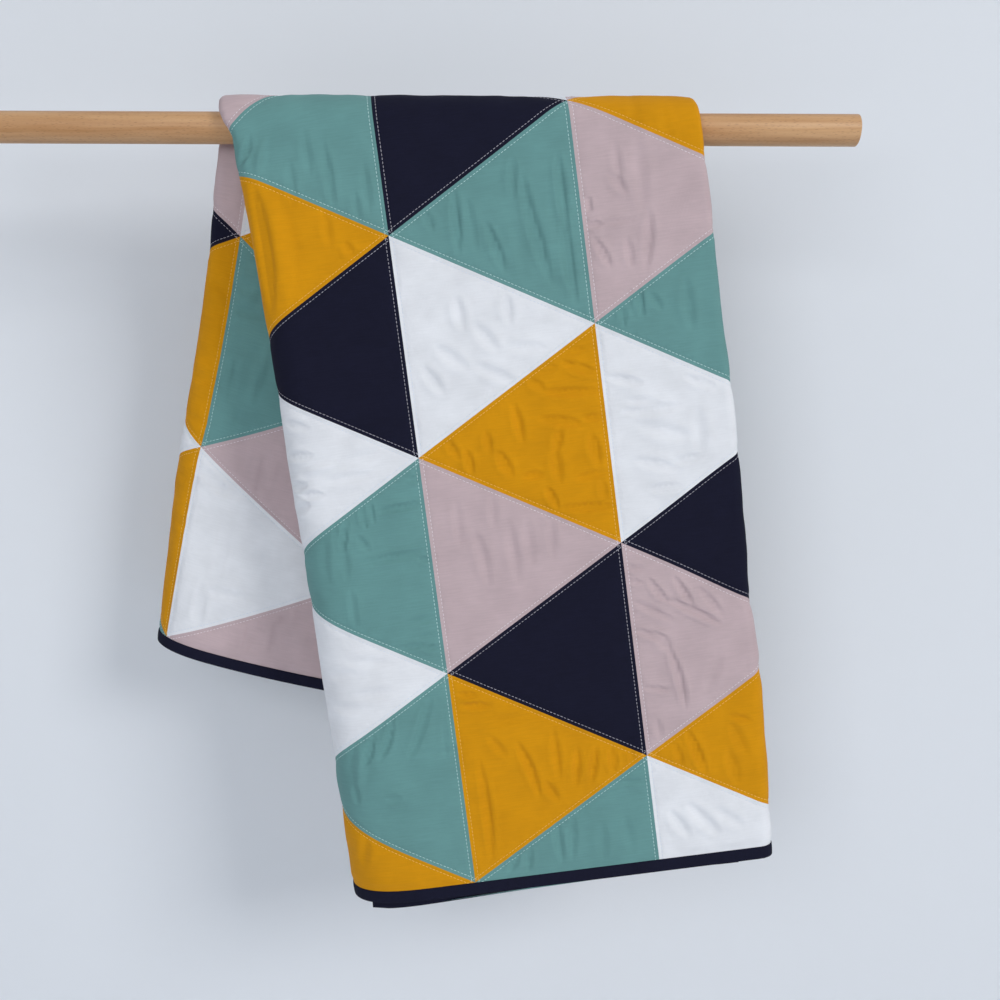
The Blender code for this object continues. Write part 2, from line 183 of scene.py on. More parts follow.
# Heights of the patchwork face over the cloth's middle: the seam is a low ridge with its notch,
# the stitching beside it sinks in, and the patch rises steeply first and then slowly
EDGE_HEIGHT = 0.00065
SEAM_NOTCH = 0.00035
SEAM_RIDGE = 0.00130
STITCHED_HEIGHT = 0.00080
STEEP_RISE = 0.00070
STEEP_REACH = 0.0024
SLOW_RISE = 0.00050
SLOW_REACH = 0.026
PUFFED_HEIGHT = STITCHED_HEIGHT + STEEP_RISE + SLOW_RISE
PRESSED_HEIGHT = 0.00150
CREST_HEIGHT = 0.00290
FULL_HEIGHT = 0.0042
STITCH_OFFSET = 0.0030
STITCH_SHARES = (0.88, 1.10)
THREAD_FLATNESS = 0.8
STITCH_LINE_STEP = 0.0018
STITCH_SEAT = 0.0007
BINDING_STEP = 0.0045
BINDING_POINT_STEP = 0.0011
BINDING_INSIDE = 0.00085
ROD_SIDES = 96
ROD_EASED = 0.0008
WRAP_HALF = 0.0365
NOTCH_REACH = 0.0008
LOOSE_REACH = 0.014
PUCKER_REACH = 0.003
FOLD_FADE = 0.02
CREST_LOFT = 0.0007
PRESSED_CREASE = 0.35
SEAM_CREASE_REACH = 0.004
HEM_HEIGHT = 0.00085
HEM_REACH = 0.008

# Random swells of the face: how wide and high they are, and the start of the draw
Swell = namedtuple("Swell", "size height seed")
DRAWN_IN = Swell(0.013, 0.45, 11)
WIDE_SWELL = Swell(0.036, 0.00034, 3)
SMALL_SWELL = Swell(0.016, 0.00022, 5)
SEAM_PUCKER = Swell(0.0082, 0.00022, 8)

# The wall that the quilt hangs close in front of, and the floor below it
WALL_PLACE = 0.165
WALL_LEFT, WALL_RIGHT, WALL_TOP = -2.6, 3.4, 1.5
FLOOR_LEVEL = -1.5
FLOOR_FRONT, FLOOR_BACK = -4.0, 3.0

# Light and camera. The camera's turns are yaw, pitch and roll, its lens and sensor in mm
ROOM = "#e3e9f1"
WARM_LIGHT = (1.0, 0.99, 0.97)
COOL_LIGHT = (0.96, 0.98, 1.0)
BACK_LIGHT_POWER = 24
CAMERA_PLACE = (0.5091, -0.8362, -0.2216)
CAMERA_TURN = (radians(-0.147), radians(-5.508), radians(-0.186))
CAMERA_LENS = 36
CAMERA_SENSOR = 36

# Colours of the patches in each column from the front hem up, by their first letters: navy,
# teal, mustard, rose grey and white
PATCH_COLOURS = (
    "RMNWTRNMWTRWNM",
    "NWTMRWMNWMTRWR",
    "MTWTWNMTRNMWMT",
    "TMNRMWTNWTRMNW",
    "WMRNWTRMRNTWMN",
    "RTNMWRTNMWTMRN",
    "WNRTMNWTRMNRTW",
)

# Each cotton with its colour setting, how much its slubs and sheen show, and its thread
Cotton = namedtuple("Cotton", "name setting slubs sheen thread")
COTTONS = {
    "N": Cotton("navy_cotton", "navy", 0.06, 0.0, "#c9c6d2"),
    "T": Cotton("teal_cotton", "teal", 0.03, 0.06, "#d0eff0"),
    "M": Cotton("mustard_cotton", "mustard", 0.03, 0.03, "#fccb62"),
    "R": Cotton("rose_grey_cotton", "rose_grey", 0.03, 0.06, "#f4edf3"),
    "W": Cotton("white_cotton", "white", 0.015, 0.05, "#dfe8f6"),
}
BACKING = Cotton("plain_backing_cotton", "backing", 0.015, 0.05, "#dfe0e4")
DARKER_THREADS = 0.90
FLECK = "#6f4526"

# Scales of the patterns, one over their size in metres: the weave of 1.1 mm, coarse enough to
# show, clouds of dye 26 mm wide, slubs 17 by 1.1 mm, puckers of 5 mm, the thread's twist of 2 mm,
# streaks of wood 200 by 8 mm, flecks 6 by 0.8 mm and the wall's clouds of 0.7 m
WEAVE_SCALE = 2 * pi / 0.0011 / 20
DYE_SCALE = 38.0
SLUB_SCALE = (60.0, 900.0, 1.0)
PUCKER_SCALE = 210.0
TWIST_SCALE = 500.0
STREAK_SCALE = (5.0, 130.0, 130.0)
FLECK_SCALE = (170.0, 1300.0, 1300.0)
CLOUD_SCALE = 1.5


def linear(hex_colour):
    """Turns an sRGB hex colour into the linear colour that a shader reads."""
    values = [int(hex_colour[i:i + 2], 16) / 255 for i in (1, 3, 5)]
    return tuple(v / 12.92 if v <= 0.04045 else ((v + 0.055) / 1.055) ** 2.4 for v in values)


def ease(values):
    """Smooth step of values between 0 and 1."""
    values = np.clip(values, 0, 1)
    return values * values * (3 - 2 * values)


def at_depth(rows, depth, column):
    """Value of one column of a table at a depth, between its rows."""
    depths = [row.depth for row in rows]
    return np.interp(depth, depths, [getattr(row, column) for row in rows])


def turn_left_to_make(distance, reach, sharp):
    """Part of a quarter turn that is still to come at a distance from the fold."""
    return pi / 2 * np.clip(1 - distance / reach, 0, 1) ** sharp


def side_hump(distance, turning, run):
    """Rise and fall over a run of cloth that starts half way through a fold's turn."""
    return np.sin(pi * np.clip((distance - turning / 2) / run, 0, 1)) ** 2


def running_sum(values, step):
    return np.concatenate(([0.0], np.cumsum((values[1:] + values[:-1]) / 2 * step)))


class FoldedSection:
    """The quilt's cross section at one depth: three layers joined by two folds."""

    def __init__(self, left_rows, right_rows, depth, left_opens_on_flap):
        span = (-BINDING_WIDTH - SECTION_OVERHANG, TOP_WIDTH + BINDING_WIDTH + SECTION_OVERHANG)
        self.cloth = np.linspace(*span, SECTION_STEPS + 1)
        self.step = self.cloth[1] - self.cloth[0]
        self.left_opens_on_flap = left_opens_on_flap
        left = Fold(*(at_depth(left_rows, depth, name) for name in Fold._fields))
        right = Fold(*(at_depth(right_rows, depth, name) for name in Fold._fields))
        self.middle = np.searchsorted(self.cloth, MIDDLE_OF_FRONT * PATCH_HEIGHT)
        self.heading = self.close_left_fold(left, right)
        self.heading = self.close_right_fold(right)
        self.across = running_sum(np.cos(self.heading), self.step)
        self.across -= np.interp(KEY_LINE, self.cloth, self.across)
        self.offset = running_sum(np.sin(self.heading), self.step)
        self.offset -= self.offset[0]

    def folded_heading(self, left, right, lean=0.0):
        """Direction in which the cloth runs: left on the flaps and right on the outer layer."""
        from_left = self.cloth - left.place * PATCH_HEIGHT
        from_right = right.place * PATCH_HEIGHT - self.cloth
        right_turn = turn_left_to_make(from_right, right.near, right.near_sharp)
        right_flap_turn = turn_left_to_make(-from_right, right.far, right.far_sharp) - pi
        left_flap = pi - turn_left_to_make(-from_left, left.far, left.far_sharp)
        outer = turn_left_to_make(from_left, left.near, left.near_sharp)
        if self.left_opens_on_flap:
            left_flap = left_flap + lean * side_hump(-from_left, left.far, left.run)
        else:
            outer = outer - lean * side_hump(from_left, left.near, left.run)
        beside_right_flap = np.interp(2 * right.place * PATCH_HEIGHT - self.cloth, self.cloth, outer)
        heading = np.where(from_left < 0, left_flap, outer - right_turn)
        return np.where(from_right < 0, beside_right_flap + right_flap_turn, heading)

    def lean_to_gap(self, heading_at, flap_point, gap):
        """Heading at the lean that brings a point of a flap to the gap from the outer layer."""
        least, most = LEAN_RANGE
        for _ in range(LEAN_TRIALS):
            lean = (least + most) / 2
            heading = heading_at(lean)
            offset = running_sum(np.sin(heading), self.step)
            if offset[self.middle] - offset[flap_point] > gap:
                least = lean
            else:
                most = lean
        return heading

    def close_left_fold(self, left, right):
        """Leans the cloth beside the left fold until flap and outer layer are the gap apart."""
        return self.lean_to_gap(lambda lean: self.folded_heading(left, right, lean), 0, left.gap)

    def close_right_fold(self, right):
        """Leans the right flap beside its fold until it is the gap from the outer layer."""
        past_fold = self.cloth - right.place * PATCH_HEIGHT
        hump = side_hump(past_fold, right.far, right.run)
        facing_middle = np.searchsorted(
            self.cloth, 2 * right.place * PATCH_HEIGHT - self.cloth[self.middle])
        return self.lean_to_gap(lambda lean: self.heading - lean * hump, facing_middle, right.gap)


class Drop:
    """Sections at every depth of one side of the hanging quilt."""

    def __init__(self, left_rows, right_rows, left_opens_on_flap):
        depths = np.linspace(0, DEEPEST, LEVELS)
        sections = [FoldedSection(left_rows, right_rows, depth, left_opens_on_flap)
                    for depth in depths]
        self.cloth = sections[0].cloth
        self.across = np.array([section.across for section in sections])
        self.offset = np.array([section.offset for section in sections])

    def find(self, cloth, depth):
        """Place across the folded quilt, and offset from its inner layer."""
        row = np.clip(depth / DEEPEST * (LEVELS - 1), 0, LEVELS - 1.001)
        start, end = self.cloth[0], self.cloth[-1]
        column = np.clip((cloth - start) / (end - start) * SECTION_STEPS, 0, SECTION_STEPS - 0.001)
        i, j = row.astype(int), column.astype(int)
        down, along = row - i, column - j

        def blend(table):
            upper = table[i, j] * (1 - along) + table[i, j + 1] * along
            lower = table[i + 1, j] * (1 - along) + table[i + 1, j + 1] * along
            return upper * (1 - down) + lower * down

        return blend(self.across), blend(self.offset)


FRONT = Drop(FRONT_LEFT, FRONT_RIGHT, True)
BACK = Drop(BACK_LEFT, BACK_RIGHT, False)


def flap_slip(cloth):
    """How much lower a flap hangs than the outer layer, growing from its fold to its edge."""
    left_width = LEFT_FOLD * PATCH_HEIGHT
    right_width = TOP_WIDTH - RIGHT_FOLD * PATCH_HEIGHT
    left_part = np.clip((left_width - cloth) / left_width, 0, 1)
    right_part = np.clip((cloth - TOP_WIDTH + right_width) / right_width, 0, 1)
    return LEFT_FLAP_SLIP * left_part + RIGHT_FLAP_SLIP * right_part


def crest_along(cloth):
    """Distance from the front hem at which the cloth crosses the top of the rod."""
    across, _ = FRONT.find(cloth, np.zeros_like(cloth))
    return FRONT_LENGTH - across * tan(ASKEW)


def edge_shift(cloth, depth, fold, rows):
    """How far a fold's edge stands in or out of line, fading away from the fold."""
    near = np.exp(-((cloth - fold * PATCH_HEIGHT) / EDGE_SPREAD) ** 2)
    return near * at_depth(rows, depth, "right")


def slip_at_fold(cloth, along):
    """How far the cloth has slid down the front beside the left fold, where it is bunched."""
    from_fold = cloth - LEFT_FOLD * PATCH_HEIGHT
    slip = 0
    for spot in FOLD_SLIPS:
        up = along - spot.side * PATCH_SIDE
        slip = slip + spot.amount * np.exp(-(from_fold / spot.reach) ** 2 - (up / SLIP_RUN) ** 2)
    return slip


def hang(cloth, along):
    """Place of the quilt's middle surface, from its distances across and along the quilt."""
    cloth, along = np.broadcast_arrays(np.asarray(cloth, float), np.asarray(along, float))
    along = along - slip_at_fold(cloth, along)
    flat_across, flat_offset = FRONT.find(cloth, np.zeros_like(cloth))
    to_front = (FRONT_LENGTH - along) * cos(ASKEW) - flat_across * sin(ASKEW)
    quarter = pi / 2 * OUTER_RADIUS - flap_slip(cloth)
    depth = np.maximum(np.abs(to_front) - quarter, 0)
    in_front = to_front > 0
    hanging = depth > 0

    front_across, front_offset = FRONT.find(cloth, depth)
    back_across, back_offset = BACK.find(cloth, depth)
    across = np.where(in_front, front_across, back_across)
    offset = np.where(in_front, front_offset, back_offset)
    behind = np.where(in_front, 0, depth)
    away = at_depth(BACK_SWING, behind, "away")

    radius = INNER_RADIUS + flat_offset
    angle = np.clip(to_front / quarter, -1, 1) * pi / 2
    x = KEY_LINE_PLACE + across * cos(ASKEW) + (FRONT_LENGTH - along) * sin(ASKEW)
    y = np.where(hanging, np.where(in_front, -1, 1) * (INNER_RADIUS + offset + away),
                 -radius * np.sin(angle))
    level = (FRONT_LENGTH - along) * cos(ASKEW) - across * sin(ASKEW)
    z = np.where(hanging, quarter - np.abs(level), radius * np.cos(angle))

    x = x - at_depth(BACK_SWING, behind, "left")
    right_edge = edge_shift(cloth, depth, RIGHT_FOLD, RIGHT_NIPS)
    x = x + np.where(in_front, right_edge, edge_shift(cloth, depth, LEFT_FOLD, BACK_NIPS))
    past_fold = np.maximum(across - BACK_SHEAR_PLACE, 0)
    shear = BACK_SHEAR * past_fold * np.exp(-past_fold / BACK_SHEAR_REACH)
    z = z + BACK_TAKE_UP * ease(behind / BACK_TAKE_UP_START) - shear * ease(behind / BACK_SHEAR_START)
    return np.stack([nip(x, y, z), y, z], axis=-1)


def facing(cloth, along):
    """Unit direction out of the patchwork side of the hanging quilt."""
    cloth, along = np.broadcast_arrays(np.asarray(cloth, float), np.asarray(along, float))
    over = hang(cloth + FACING_STEP, along) - hang(cloth - FACING_STEP, along)
    up = hang(cloth, along + FACING_STEP) - hang(cloth, along - FACING_STEP)
    normal = np.cross(over, up)
    return normal / np.linalg.norm(normal, axis=-1, keepdims=True)


def seam_distance(cloth, along):
    """Distance in the cloth to the nearest sewn line of the patchwork."""
    column = cloth / PATCH_HEIGHT
    side = along / PATCH_SIDE
    families = (column, side - column / 2 - 0.5, side + column / 2 - 0.5)
    nearest = np.min([np.abs(family - np.round(family)) for family in families], axis=0)
    return nearest * PATCH_HEIGHT


def edge_distance(cloth, along):
    """Distance in from the sewn edge of the binding, negative under it."""
    return np.min([cloth, TOP_WIDTH - cloth, along, TOP_LENGTH - along], axis=0)


def nip(x, y, z):
    """Small moves of the cloth at the left fold, which is nipped in just under the rod."""
    from_fold = np.maximum(x - NIP_PLACE, 0)
    near = np.exp(-(from_fold / NIP_SPREAD) ** 2)
    in_front = ease(-y / NIP_FRONT)
    return x + at_depth(NIPS, -z, "right") * near * in_front


def unevenness(cloth, along, swell):
    """Smooth random swell, with humps of one size that rise and fall by about its height."""
    draw = np.random.default_rng(swell.seed)
    table = draw.uniform(-1, 1, [int(length / swell.size) + 5 for length in FLAT_SIZE])
    a = (cloth + BINDING_WIDTH) / swell.size + 1
    b = (along + BINDING_WIDTH) / swell.size + 1
    i, j = np.floor(a).astype(int), np.floor(b).astype(int)
    s, t = ease(a - i), ease(b - j)
    low = table[i, j] * (1 - s) + table[i + 1, j] * s
    high = table[i, j + 1] * (1 - s) + table[i + 1, j + 1] * s
    return swell.height * (low * (1 - t) + high * t)


# Creases placed one by one, read off as the dark side of each. column and side are its middle, in
# columns across and sides along. angle is in degrees from straight across. length, width, depth
# and bend, which is how far the ends curl round, are in millimetres. Ridges have a depth below 0
Crease = namedtuple("Crease", "column side angle length width depth bend", defaults=(0,))
CREASES = [Crease(*row) for row in (
    # Teal, mustard and white patches of the left column, from the hem up
    (2.64, 0.724, 67, 40, 2.6, 0.7, 3), (2.531, 0.679, 67, 34, 2.6, 0.7, 2),
    (2.819, 0.752, 63, 62, 3.2, 0.5, 2), (2.465, 0.62, 80, 44, 4.5, -0.55),
    (2.417, 0.47, 88, 18, 3.0, 0.4), (2.631, 0.443, 4, 14, 3.4, 0.45), (2.87, 0.645, -5, 28, 2.4, 0.25),
    (2.94, 0.7, 85, 40, 2.4, 0.22), (2.6, 0.95, 0, 36, 4.0, 0.4), (2.43, 0.89, -4, 30, 4.0, 0.35),
    (2.42, 0.2, 75, 30, 4.5, 0.35), (2.6, 1.1, -8, 44, 4.0, 0.35), (2.43, 1.05, 4, 30, 4.0, 0.3),
    (2.871, 1.788, 3, 38, 2.6, 0.8), (2.806, 1.566, 3, 58, 3.0, 0.65), (2.557, 1.69, 77, 28, 2.4, 0.75),
    (2.545, 1.57, 86, 32, 3.0, 0.35), (2.674, 1.769, 90, 22, 2.4, 0.75), (2.716, 1.78, 90, 18, 2.2, 0.5),
    (2.48, 1.6, 84, 46, 4.0, -0.4), (2.956, 1.538, -15, 12, 2.2, 0.6), (2.96, 1.91, 0, 12, 2.2, 0.55),
    (2.84, 1.145, 6, 30, 2.4, 0.5), (2.936, 1.13, 4, 18, 2.2, 0.55), (2.91, 1.263, 8, 26, 3.0, 0.4),
    (2.92, 1.184, 2, 22, 2.6, 0.35), (2.553, 1.353, 90, 34, 3.0, 0.35),
    (2.65, 1.645, 120, 16, 3.0, 0.45), (2.34, 1.94, 0, 20, 3.2, 0.9), (2.417, 1.895, -3, 22, 2.8, 0.8),
    (2.33, 1.836, 14, 24, 3.4, 0.8), (2.62, 1.951, 2, 42, 3.6, 0.5), (2.365, 2.078, -5, 30, 3.2, 0.8),
    (2.38, 2.218, -20, 26, 3.4, 0.55), (2.48, 2.01, 6, 30, 3.6, -0.45), (2.72, 2.04, 8, 34, 4.0, 0.35),
    (2.69, 3.06, 92, 36, 3.4, 0.35), (2.787, 2.96, 120, 16, 3.2, 0.55),
    (2.36, 3.02, 90, 110, 4.6, 0.9, 3), (2.44, 3.0, 90, 96, 6.0, -0.6, 2),
    (2.735, 3.3, 92, 56, 3.2, 0.6), (2.855, 3.13, 88, 30, 3.0, 0.4), (2.92, 3.225, 90, 46, 3.2, 0.4),
    (2.54, 3.28, 86, 40, 3.4, 0.4), (2.33, 3.47, 68, 30, 3.2, 0.9, 2), (2.4, 3.43, 74, 34, 4.0, -0.6),
    (2.64, 3.42, 90, 44, 3.4, 0.45),
    # Middle column
    (3.115, 0.34, 90, 92, 3.2, 0.65, 2), (3.215, 0.63, 124, 26, 3.4, 0.45),
    (3.371, 0.51, 105, 52, 3.2, 0.75, 2), (3.47, 0.39, 118, 22, 3.4, 0.6),
    (3.09, 0.89, -10, 18, 2.6, 0.6), (3.125, 0.835, -5, 30, 2.6, 0.6), (3.3, 0.75, 2, 34, 4.0, 0.3),
    (3.215, 0.07, 66, 24, 3.0, 0.5), (3.3, 0.08, 80, 28, 3.0, 0.5), (3.475, 0.15, 92, 44, 3.2, 0.5),
    (3.55, 0.15, 82, 40, 3.2, 0.45), (3.71, 0.12, 85, 34, 4.0, 0.35), (3.85, 0.14, 95, 34, 4.0, 0.3),
    (3.93, 0.385, -5, 26, 2.6, 0.45), (3.52, 0.56, 90, 46, 3.0, 0.5), (3.62, 0.49, 80, 36, 3.0, 0.6),
    (3.71, 0.49, 75, 36, 3.0, 0.65), (3.815, 0.5, 90, 24, 3.0, 0.75), (3.92, 0.5, 90, 14, 2.4, 0.5),
    (3.27, 1.51, 97, 50, 4.0, 0.45, 2), (3.43, 1.52, 92, 56, 4.0, 0.4), (3.16, 1.68, 88, 40, 3.6, 0.3),
    (3.35, 1.72, 85, 30, 3.6, 0.35), (3.52, 1.56, 90, 40, 4.0, 0.35), (3.64, 1.56, 86, 34, 3.6, 0.35),
    (3.2, 1.6, -3, 40, 3.6, 0.25), (3.85, 1.681, -5, 46, 3.0, 0.85), (3.669, 1.746, 110, 22, 2.8, 0.75),
    (3.88, 1.822, 5, 30, 3.0, 0.6), (3.714, 1.881, 92, 30, 3.8, 0.6), (3.922, 1.937, 98, 30, 3.8, 0.7),
    (3.735, 2.0, 70, 24, 3.2, 0.6), (3.58, 1.855, 0, 20, 3.2, 0.65), (3.94, 1.75, 88, 18, 3.0, 0.5),
    (3.183, 2.02, 118, 20, 3.0, 0.6), (3.26, 1.954, 97, 22, 3.0, 0.7), (3.443, 1.926, 113, 26, 3.6, 0.8),
    (3.37, 2.03, 92, 20, 3.0, 0.6), (3.54, 2.1, 97, 36, 3.2, 0.65), (3.825, 2.207, -6, 50, 3.2, 0.85, 1),
    (3.76, 2.083, -15, 38, 3.6, 0.8), (3.89, 2.308, -22, 30, 3.2, 0.8, 1), (3.93, 2.08, 0, 18, 2.8, 0.7),
    (3.66, 2.26, -35, 18, 3.2, 0.6), (3.73, 2.325, 0, 16, 3.0, 0.5), (3.87, 2.387, 5, 24, 2.8, 0.55),
    (3.31, 2.62, 95, 30, 4.0, 0.55), (3.43, 2.5, 125, 34, 4.4, 0.55), (3.13, 2.34, 122, 30, 4.0, 0.55),
    (3.46, 2.33, 150, 40, 4.2, 0.6), (3.24, 2.43, 138, 34, 4.4, 0.5), (3.56, 2.61, 90, 26, 3.8, 0.5),
    (3.64, 2.43, -8, 34, 4.0, 0.5), (3.912, 3.1, 90, 62, 3.2, 0.8), (3.905, 2.79, 91, 72, 3.4, 0.85, -1),
    (3.747, 2.944, 98, 94, 3.6, 0.75, -2), (3.83, 2.86, 97, 70, 4.6, -0.45),
    (3.539, 2.888, 104, 44, 3.2, 0.75), (3.62, 2.86, 96, 50, 4.2, -0.3), (3.67, 3.18, 83, 36, 3.2, 0.45),
    (3.354, 3.02, 86, 54, 3.2, 0.75), (3.21, 3.045, 110, 20, 3.2, 0.5), (3.43, 3.0, 93, 44, 3.4, 0.4),
    # Right column
    (4.266, 0.488, 106, 42, 3.2, 0.85), (4.17, 0.476, 100, 24, 2.8, 0.5),
    (4.52, 0.62, -20, 22, 2.8, 0.5), (4.45, 0.4, 100, 34, 4.0, 0.45), (4.5, 0.52, 110, 34, 4.0, 0.4),
    (4.13, 0.16, 120, 30, 4.0, 0.55), (4.26, 0.17, 128, 40, 4.4, 0.6), (4.4, 0.16, 140, 30, 4.4, 0.45),
    (4.22, 0.85, 99, 58, 2.8, 0.8, 2), (4.16, 1.02, 125, 20, 4.0, 0.55), (4.1, 0.805, -12, 26, 2.2, 0.5),
    (4.08, 0.62, 96, 18, 2.8, 0.4), (4.4, 0.85, 60, 40, 4.4, 0.35),
    (4.16, 1.259, 123, 26, 2.6, 0.85, -1), (4.351, 1.144, 149, 54, 2.8, 0.8, 1),
    (4.305, 1.238, 118, 34, 2.8, 0.75), (4.448, 1.18, 127, 34, 3.2, 0.5),
    (4.097, 1.06, -22, 30, 2.6, 0.7), (4.125, 1.17, -33, 42, 2.8, 0.5),
    (4.055, 1.375, -8, 16, 2.2, 0.55), (4.055, 1.31, -6, 14, 2.0, 0.45),
    (4.12, 2.23, -18, 32, 3.2, 0.65), (4.24, 2.083, -1, 52, 3.6, 0.7, 1),
    (4.2, 2.125, -10, 30, 3.2, 0.5), (4.51, 2.18, -25, 30, 3.0, 0.5), (4.23, 1.836, -18, 40, 3.6, 0.6),
    (4.266, 1.724, -3, 30, 3.2, 0.6), (4.4, 1.84, 5, 28, 3.2, 0.45), (4.3, 1.98, -18, 50, 5.0, 0.55),
    (4.48, 1.96, 88, 40, 5.0, 0.4), (4.04, 3.02, 90, 14, 2.4, 0.6), (4.06, 2.93, -4, 14, 2.4, 0.6),
    (4.084, 2.803, 113, 30, 2.8, 0.65), (4.2, 3.1, 125, 24, 3.2, 0.45), (4.21, 3.18, 90, 40, 3.2, 0.4),
    (4.325, 2.831, 80, 52, 3.4, 0.6, 1), (4.22, 2.79, 93, 26, 3.0, 0.45), (4.19, 2.93, 0, 30, 2.0, 0.3),
    (4.32, 3.12, 88, 70, 5.0, 0.45), (4.15, 2.516, 90, 20, 2.4, 0.55), (4.247, 2.573, 92, 28, 2.6, 0.8),
    (4.33, 2.56, 120, 20, 3.0, 0.45), (4.5, 2.53, 92, 46, 4.2, 0.5), (4.33, 3.42, 86, 44, 4.0, 0.45),
    (4.48, 3.33, 94, 30, 3.6, 0.4),
    # Back drop, where it shows past the front
    (1.88, 4.81, 6, 28, 4.2, 0.49), (1.92, 4.71, 4, 28, 4.2, 0.52), (1.76, 5.06, 78, 60, 5.0, -0.6, 2),
    (1.9, 5.14, 84, 40, 4.2, 0.5), (1.82, 4.72, 60, 34, 4.2, 0.42), (1.72, 4.42, 84, 60, 4.2, 0.45),
    (1.86, 4.44, 72, 40, 4.2, 0.39), (1.56, 4.44, 80, 50, 4.2, 0.4), (1.62, 5.56, 86, 44, 4.2, 0.6),
    (1.76, 5.48, 92, 36, 4.2, 0.35), (1.84, 5.33, 80, 28, 4.2, 0.35), (1.8, 5.67, -4, 34, 4.2, 0.65),
    (1.93, 5.62, -6, 28, 4.2, 0.45), (1.66, 6.18, 4, 46, 4.2, 0.45), (1.82, 6.28, 92, 44, 4.2, 0.45),
    (1.76, 5.96, 88, 60, 5.0, 0.35), (1.5, 6.34, 84, 40, 4.2, 0.5), (1.34, 6.3, 78, 50, 4.4, 0.6),
    (2.06, 5.18, 0, 28, 4.2, 0.56), (2.06, 5.08, 4, 28, 4.2, 0.49), (2.06, 4.74, -3, 28, 4.2, 0.59),
    (2.06, 5.38, 0, 28, 4.2, 0.52), (2.06, 5.66, 4, 28, 4.2, 0.59), (2.05, 5.9, -4, 28, 4.2, 0.42),
)]
CREASE_SHOULDER = 0.45
SHOULDER_PLACE = 1.7
SHOULDER_WIDTH = 0.9
CREASE_END_WIDTH = 0.55
CREASE_WIDENING = 0.45

# Creases of the hidden patches: their spread from the middle of a patch, the angles and how far
# they stray from them, and the ranges of length, width, depth and bend
GUESSED_CREASES_IN_A_PATCH = 4
GUESSED_SEED = 21
GUESSED_SPREAD = (1.6, 1.6, 1.6)
GUESSED_ANGLES = (90, 90, 0, 62, 118)
GUESSED_TURN = 9
GUESSED_SIZES = ((22, 60), (2.8, 4.4), (0.35, 0.75), (-2, 2))


def guessed_creases():
    """Creases for the patches that the view of the front never shows."""
    draw = np.random.default_rng(GUESSED_SEED)
    found = []
    for column in range(COLUMNS):
        for piece in range(int(2 * SIDES_LONG) + 1):
            if patch_is_seen(column, piece):
                continue
            corners = patch_corners(column, piece)
            for _ in range(GUESSED_CREASES_IN_A_PATCH):
                place = draw.dirichlet(GUESSED_SPREAD) @ corners
                angle = draw.choice(GUESSED_ANGLES) + draw.normal(0, GUESSED_TURN)
                sizes = [draw.uniform(*span) for span in GUESSED_SIZES]
                found.append(Crease(place[0] / PATCH_HEIGHT, place[1] / PATCH_SIDE, angle, *sizes))
    return found


def creases(cloth, along, placed):
    """Height that creases add, in metres."""
    height = np.zeros_like(cloth)
    strength = bpy.context.scene.quilt_cloth.crease_strength
    for crease in placed:
        over = (cloth - crease.column * PATCH_HEIGHT) * MM
        up = (along - crease.side * PATCH_SIDE) * MM
        reach = crease.length / 2 + 4 * crease.width
        near = (np.abs(over) < reach) & (np.abs(up) < reach)
        over, up = over[near], up[near]
        turn = radians(crease.angle)
        run = over * cos(turn) + up * sin(turn)
        away = up * cos(turn) - over * sin(turn)
        share = np.clip(2 * run / crease.length, -1, 1)
        away = away - crease.bend * share ** 2
        taper = np.clip(1 - share ** 2, 0, 1)
        away = np.abs(away) / (crease.width * (CREASE_END_WIDTH + CREASE_WIDENING * taper))
        shoulder = np.exp(-((away - SHOULDER_PLACE) / SHOULDER_WIDTH) ** 2)
        trough = (np.exp(-away ** 2) - CREASE_SHOULDER * shoulder) * taper
        height[near] -= strength * crease.depth / MM * trough
    return height


def face_height(cloth, along):
    """Height of the patchwork face over the cloth's middle."""
    seam = seam_distance(cloth, along)
    inside = np.maximum(seam - STITCH_OFFSET, 0)
    ridge = SEAM_RIDGE + (STITCHED_HEIGHT - SEAM_RIDGE) * ease(seam / STITCH_OFFSET)
    notch = SEAM_NOTCH * np.clip(1 - seam / NOTCH_REACH, 0, 1)
    drawn_in = 1 + unevenness(cloth, along, DRAWN_IN)
    steep = STEEP_RISE * drawn_in * (1 - np.exp(-inside / STEEP_REACH))
    slow = SLOW_RISE * np.sin(pi / 2 * np.clip(inside / SLOW_REACH, 0, 1))
    loose = ease(inside / LOOSE_REACH)
    swell = unevenness(cloth, along, WIDE_SWELL) + unevenness(cloth, along, SMALL_SWELL)
    by_seam = ease(seam / PUCKER_REACH) * (1 - 0.75 * loose)
    pucker = unevenness(cloth, along, SEAM_PUCKER) * by_seam
    height = ridge - notch + steep + slow + swell * loose + pucker
    hangs = ease((np.abs(along - crest_along(cloth)) - WRAP_HALF) / WRAP_HALF)
    outermost = ease((cloth - LEFT_FOLD * PATCH_HEIGHT) / FOLD_FADE)
    outermost = outermost * ease((RIGHT_FOLD * PATCH_HEIGHT - cloth) / FOLD_FADE)
    pressed = PRESSED_HEIGHT + (CREST_HEIGHT - PRESSED_HEIGHT) * outermost
    height = height + outermost * (1 - hangs) * CREST_LOFT
    on_rod = PRESSED_CREASE + (1 - PRESSED_CREASE) * hangs
    at_seam = PRESSED_CREASE + (1 - PRESSED_CREASE) * ease(seam / SEAM_CREASE_REACH)
    height = height + creases(cloth, along, ALL_CREASES) * on_rod * at_seam
    height = np.minimum(height, pressed + (FULL_HEIGHT - pressed) * hangs)
    edge = edge_distance(cloth, along)
    rise = ease(edge / HEM_REACH)
    height = np.where(edge < 0, EDGE_HEIGHT, HEM_HEIGHT + (height - HEM_HEIGHT) * rise)
    return np.maximum(height, EDGE_HEIGHT)


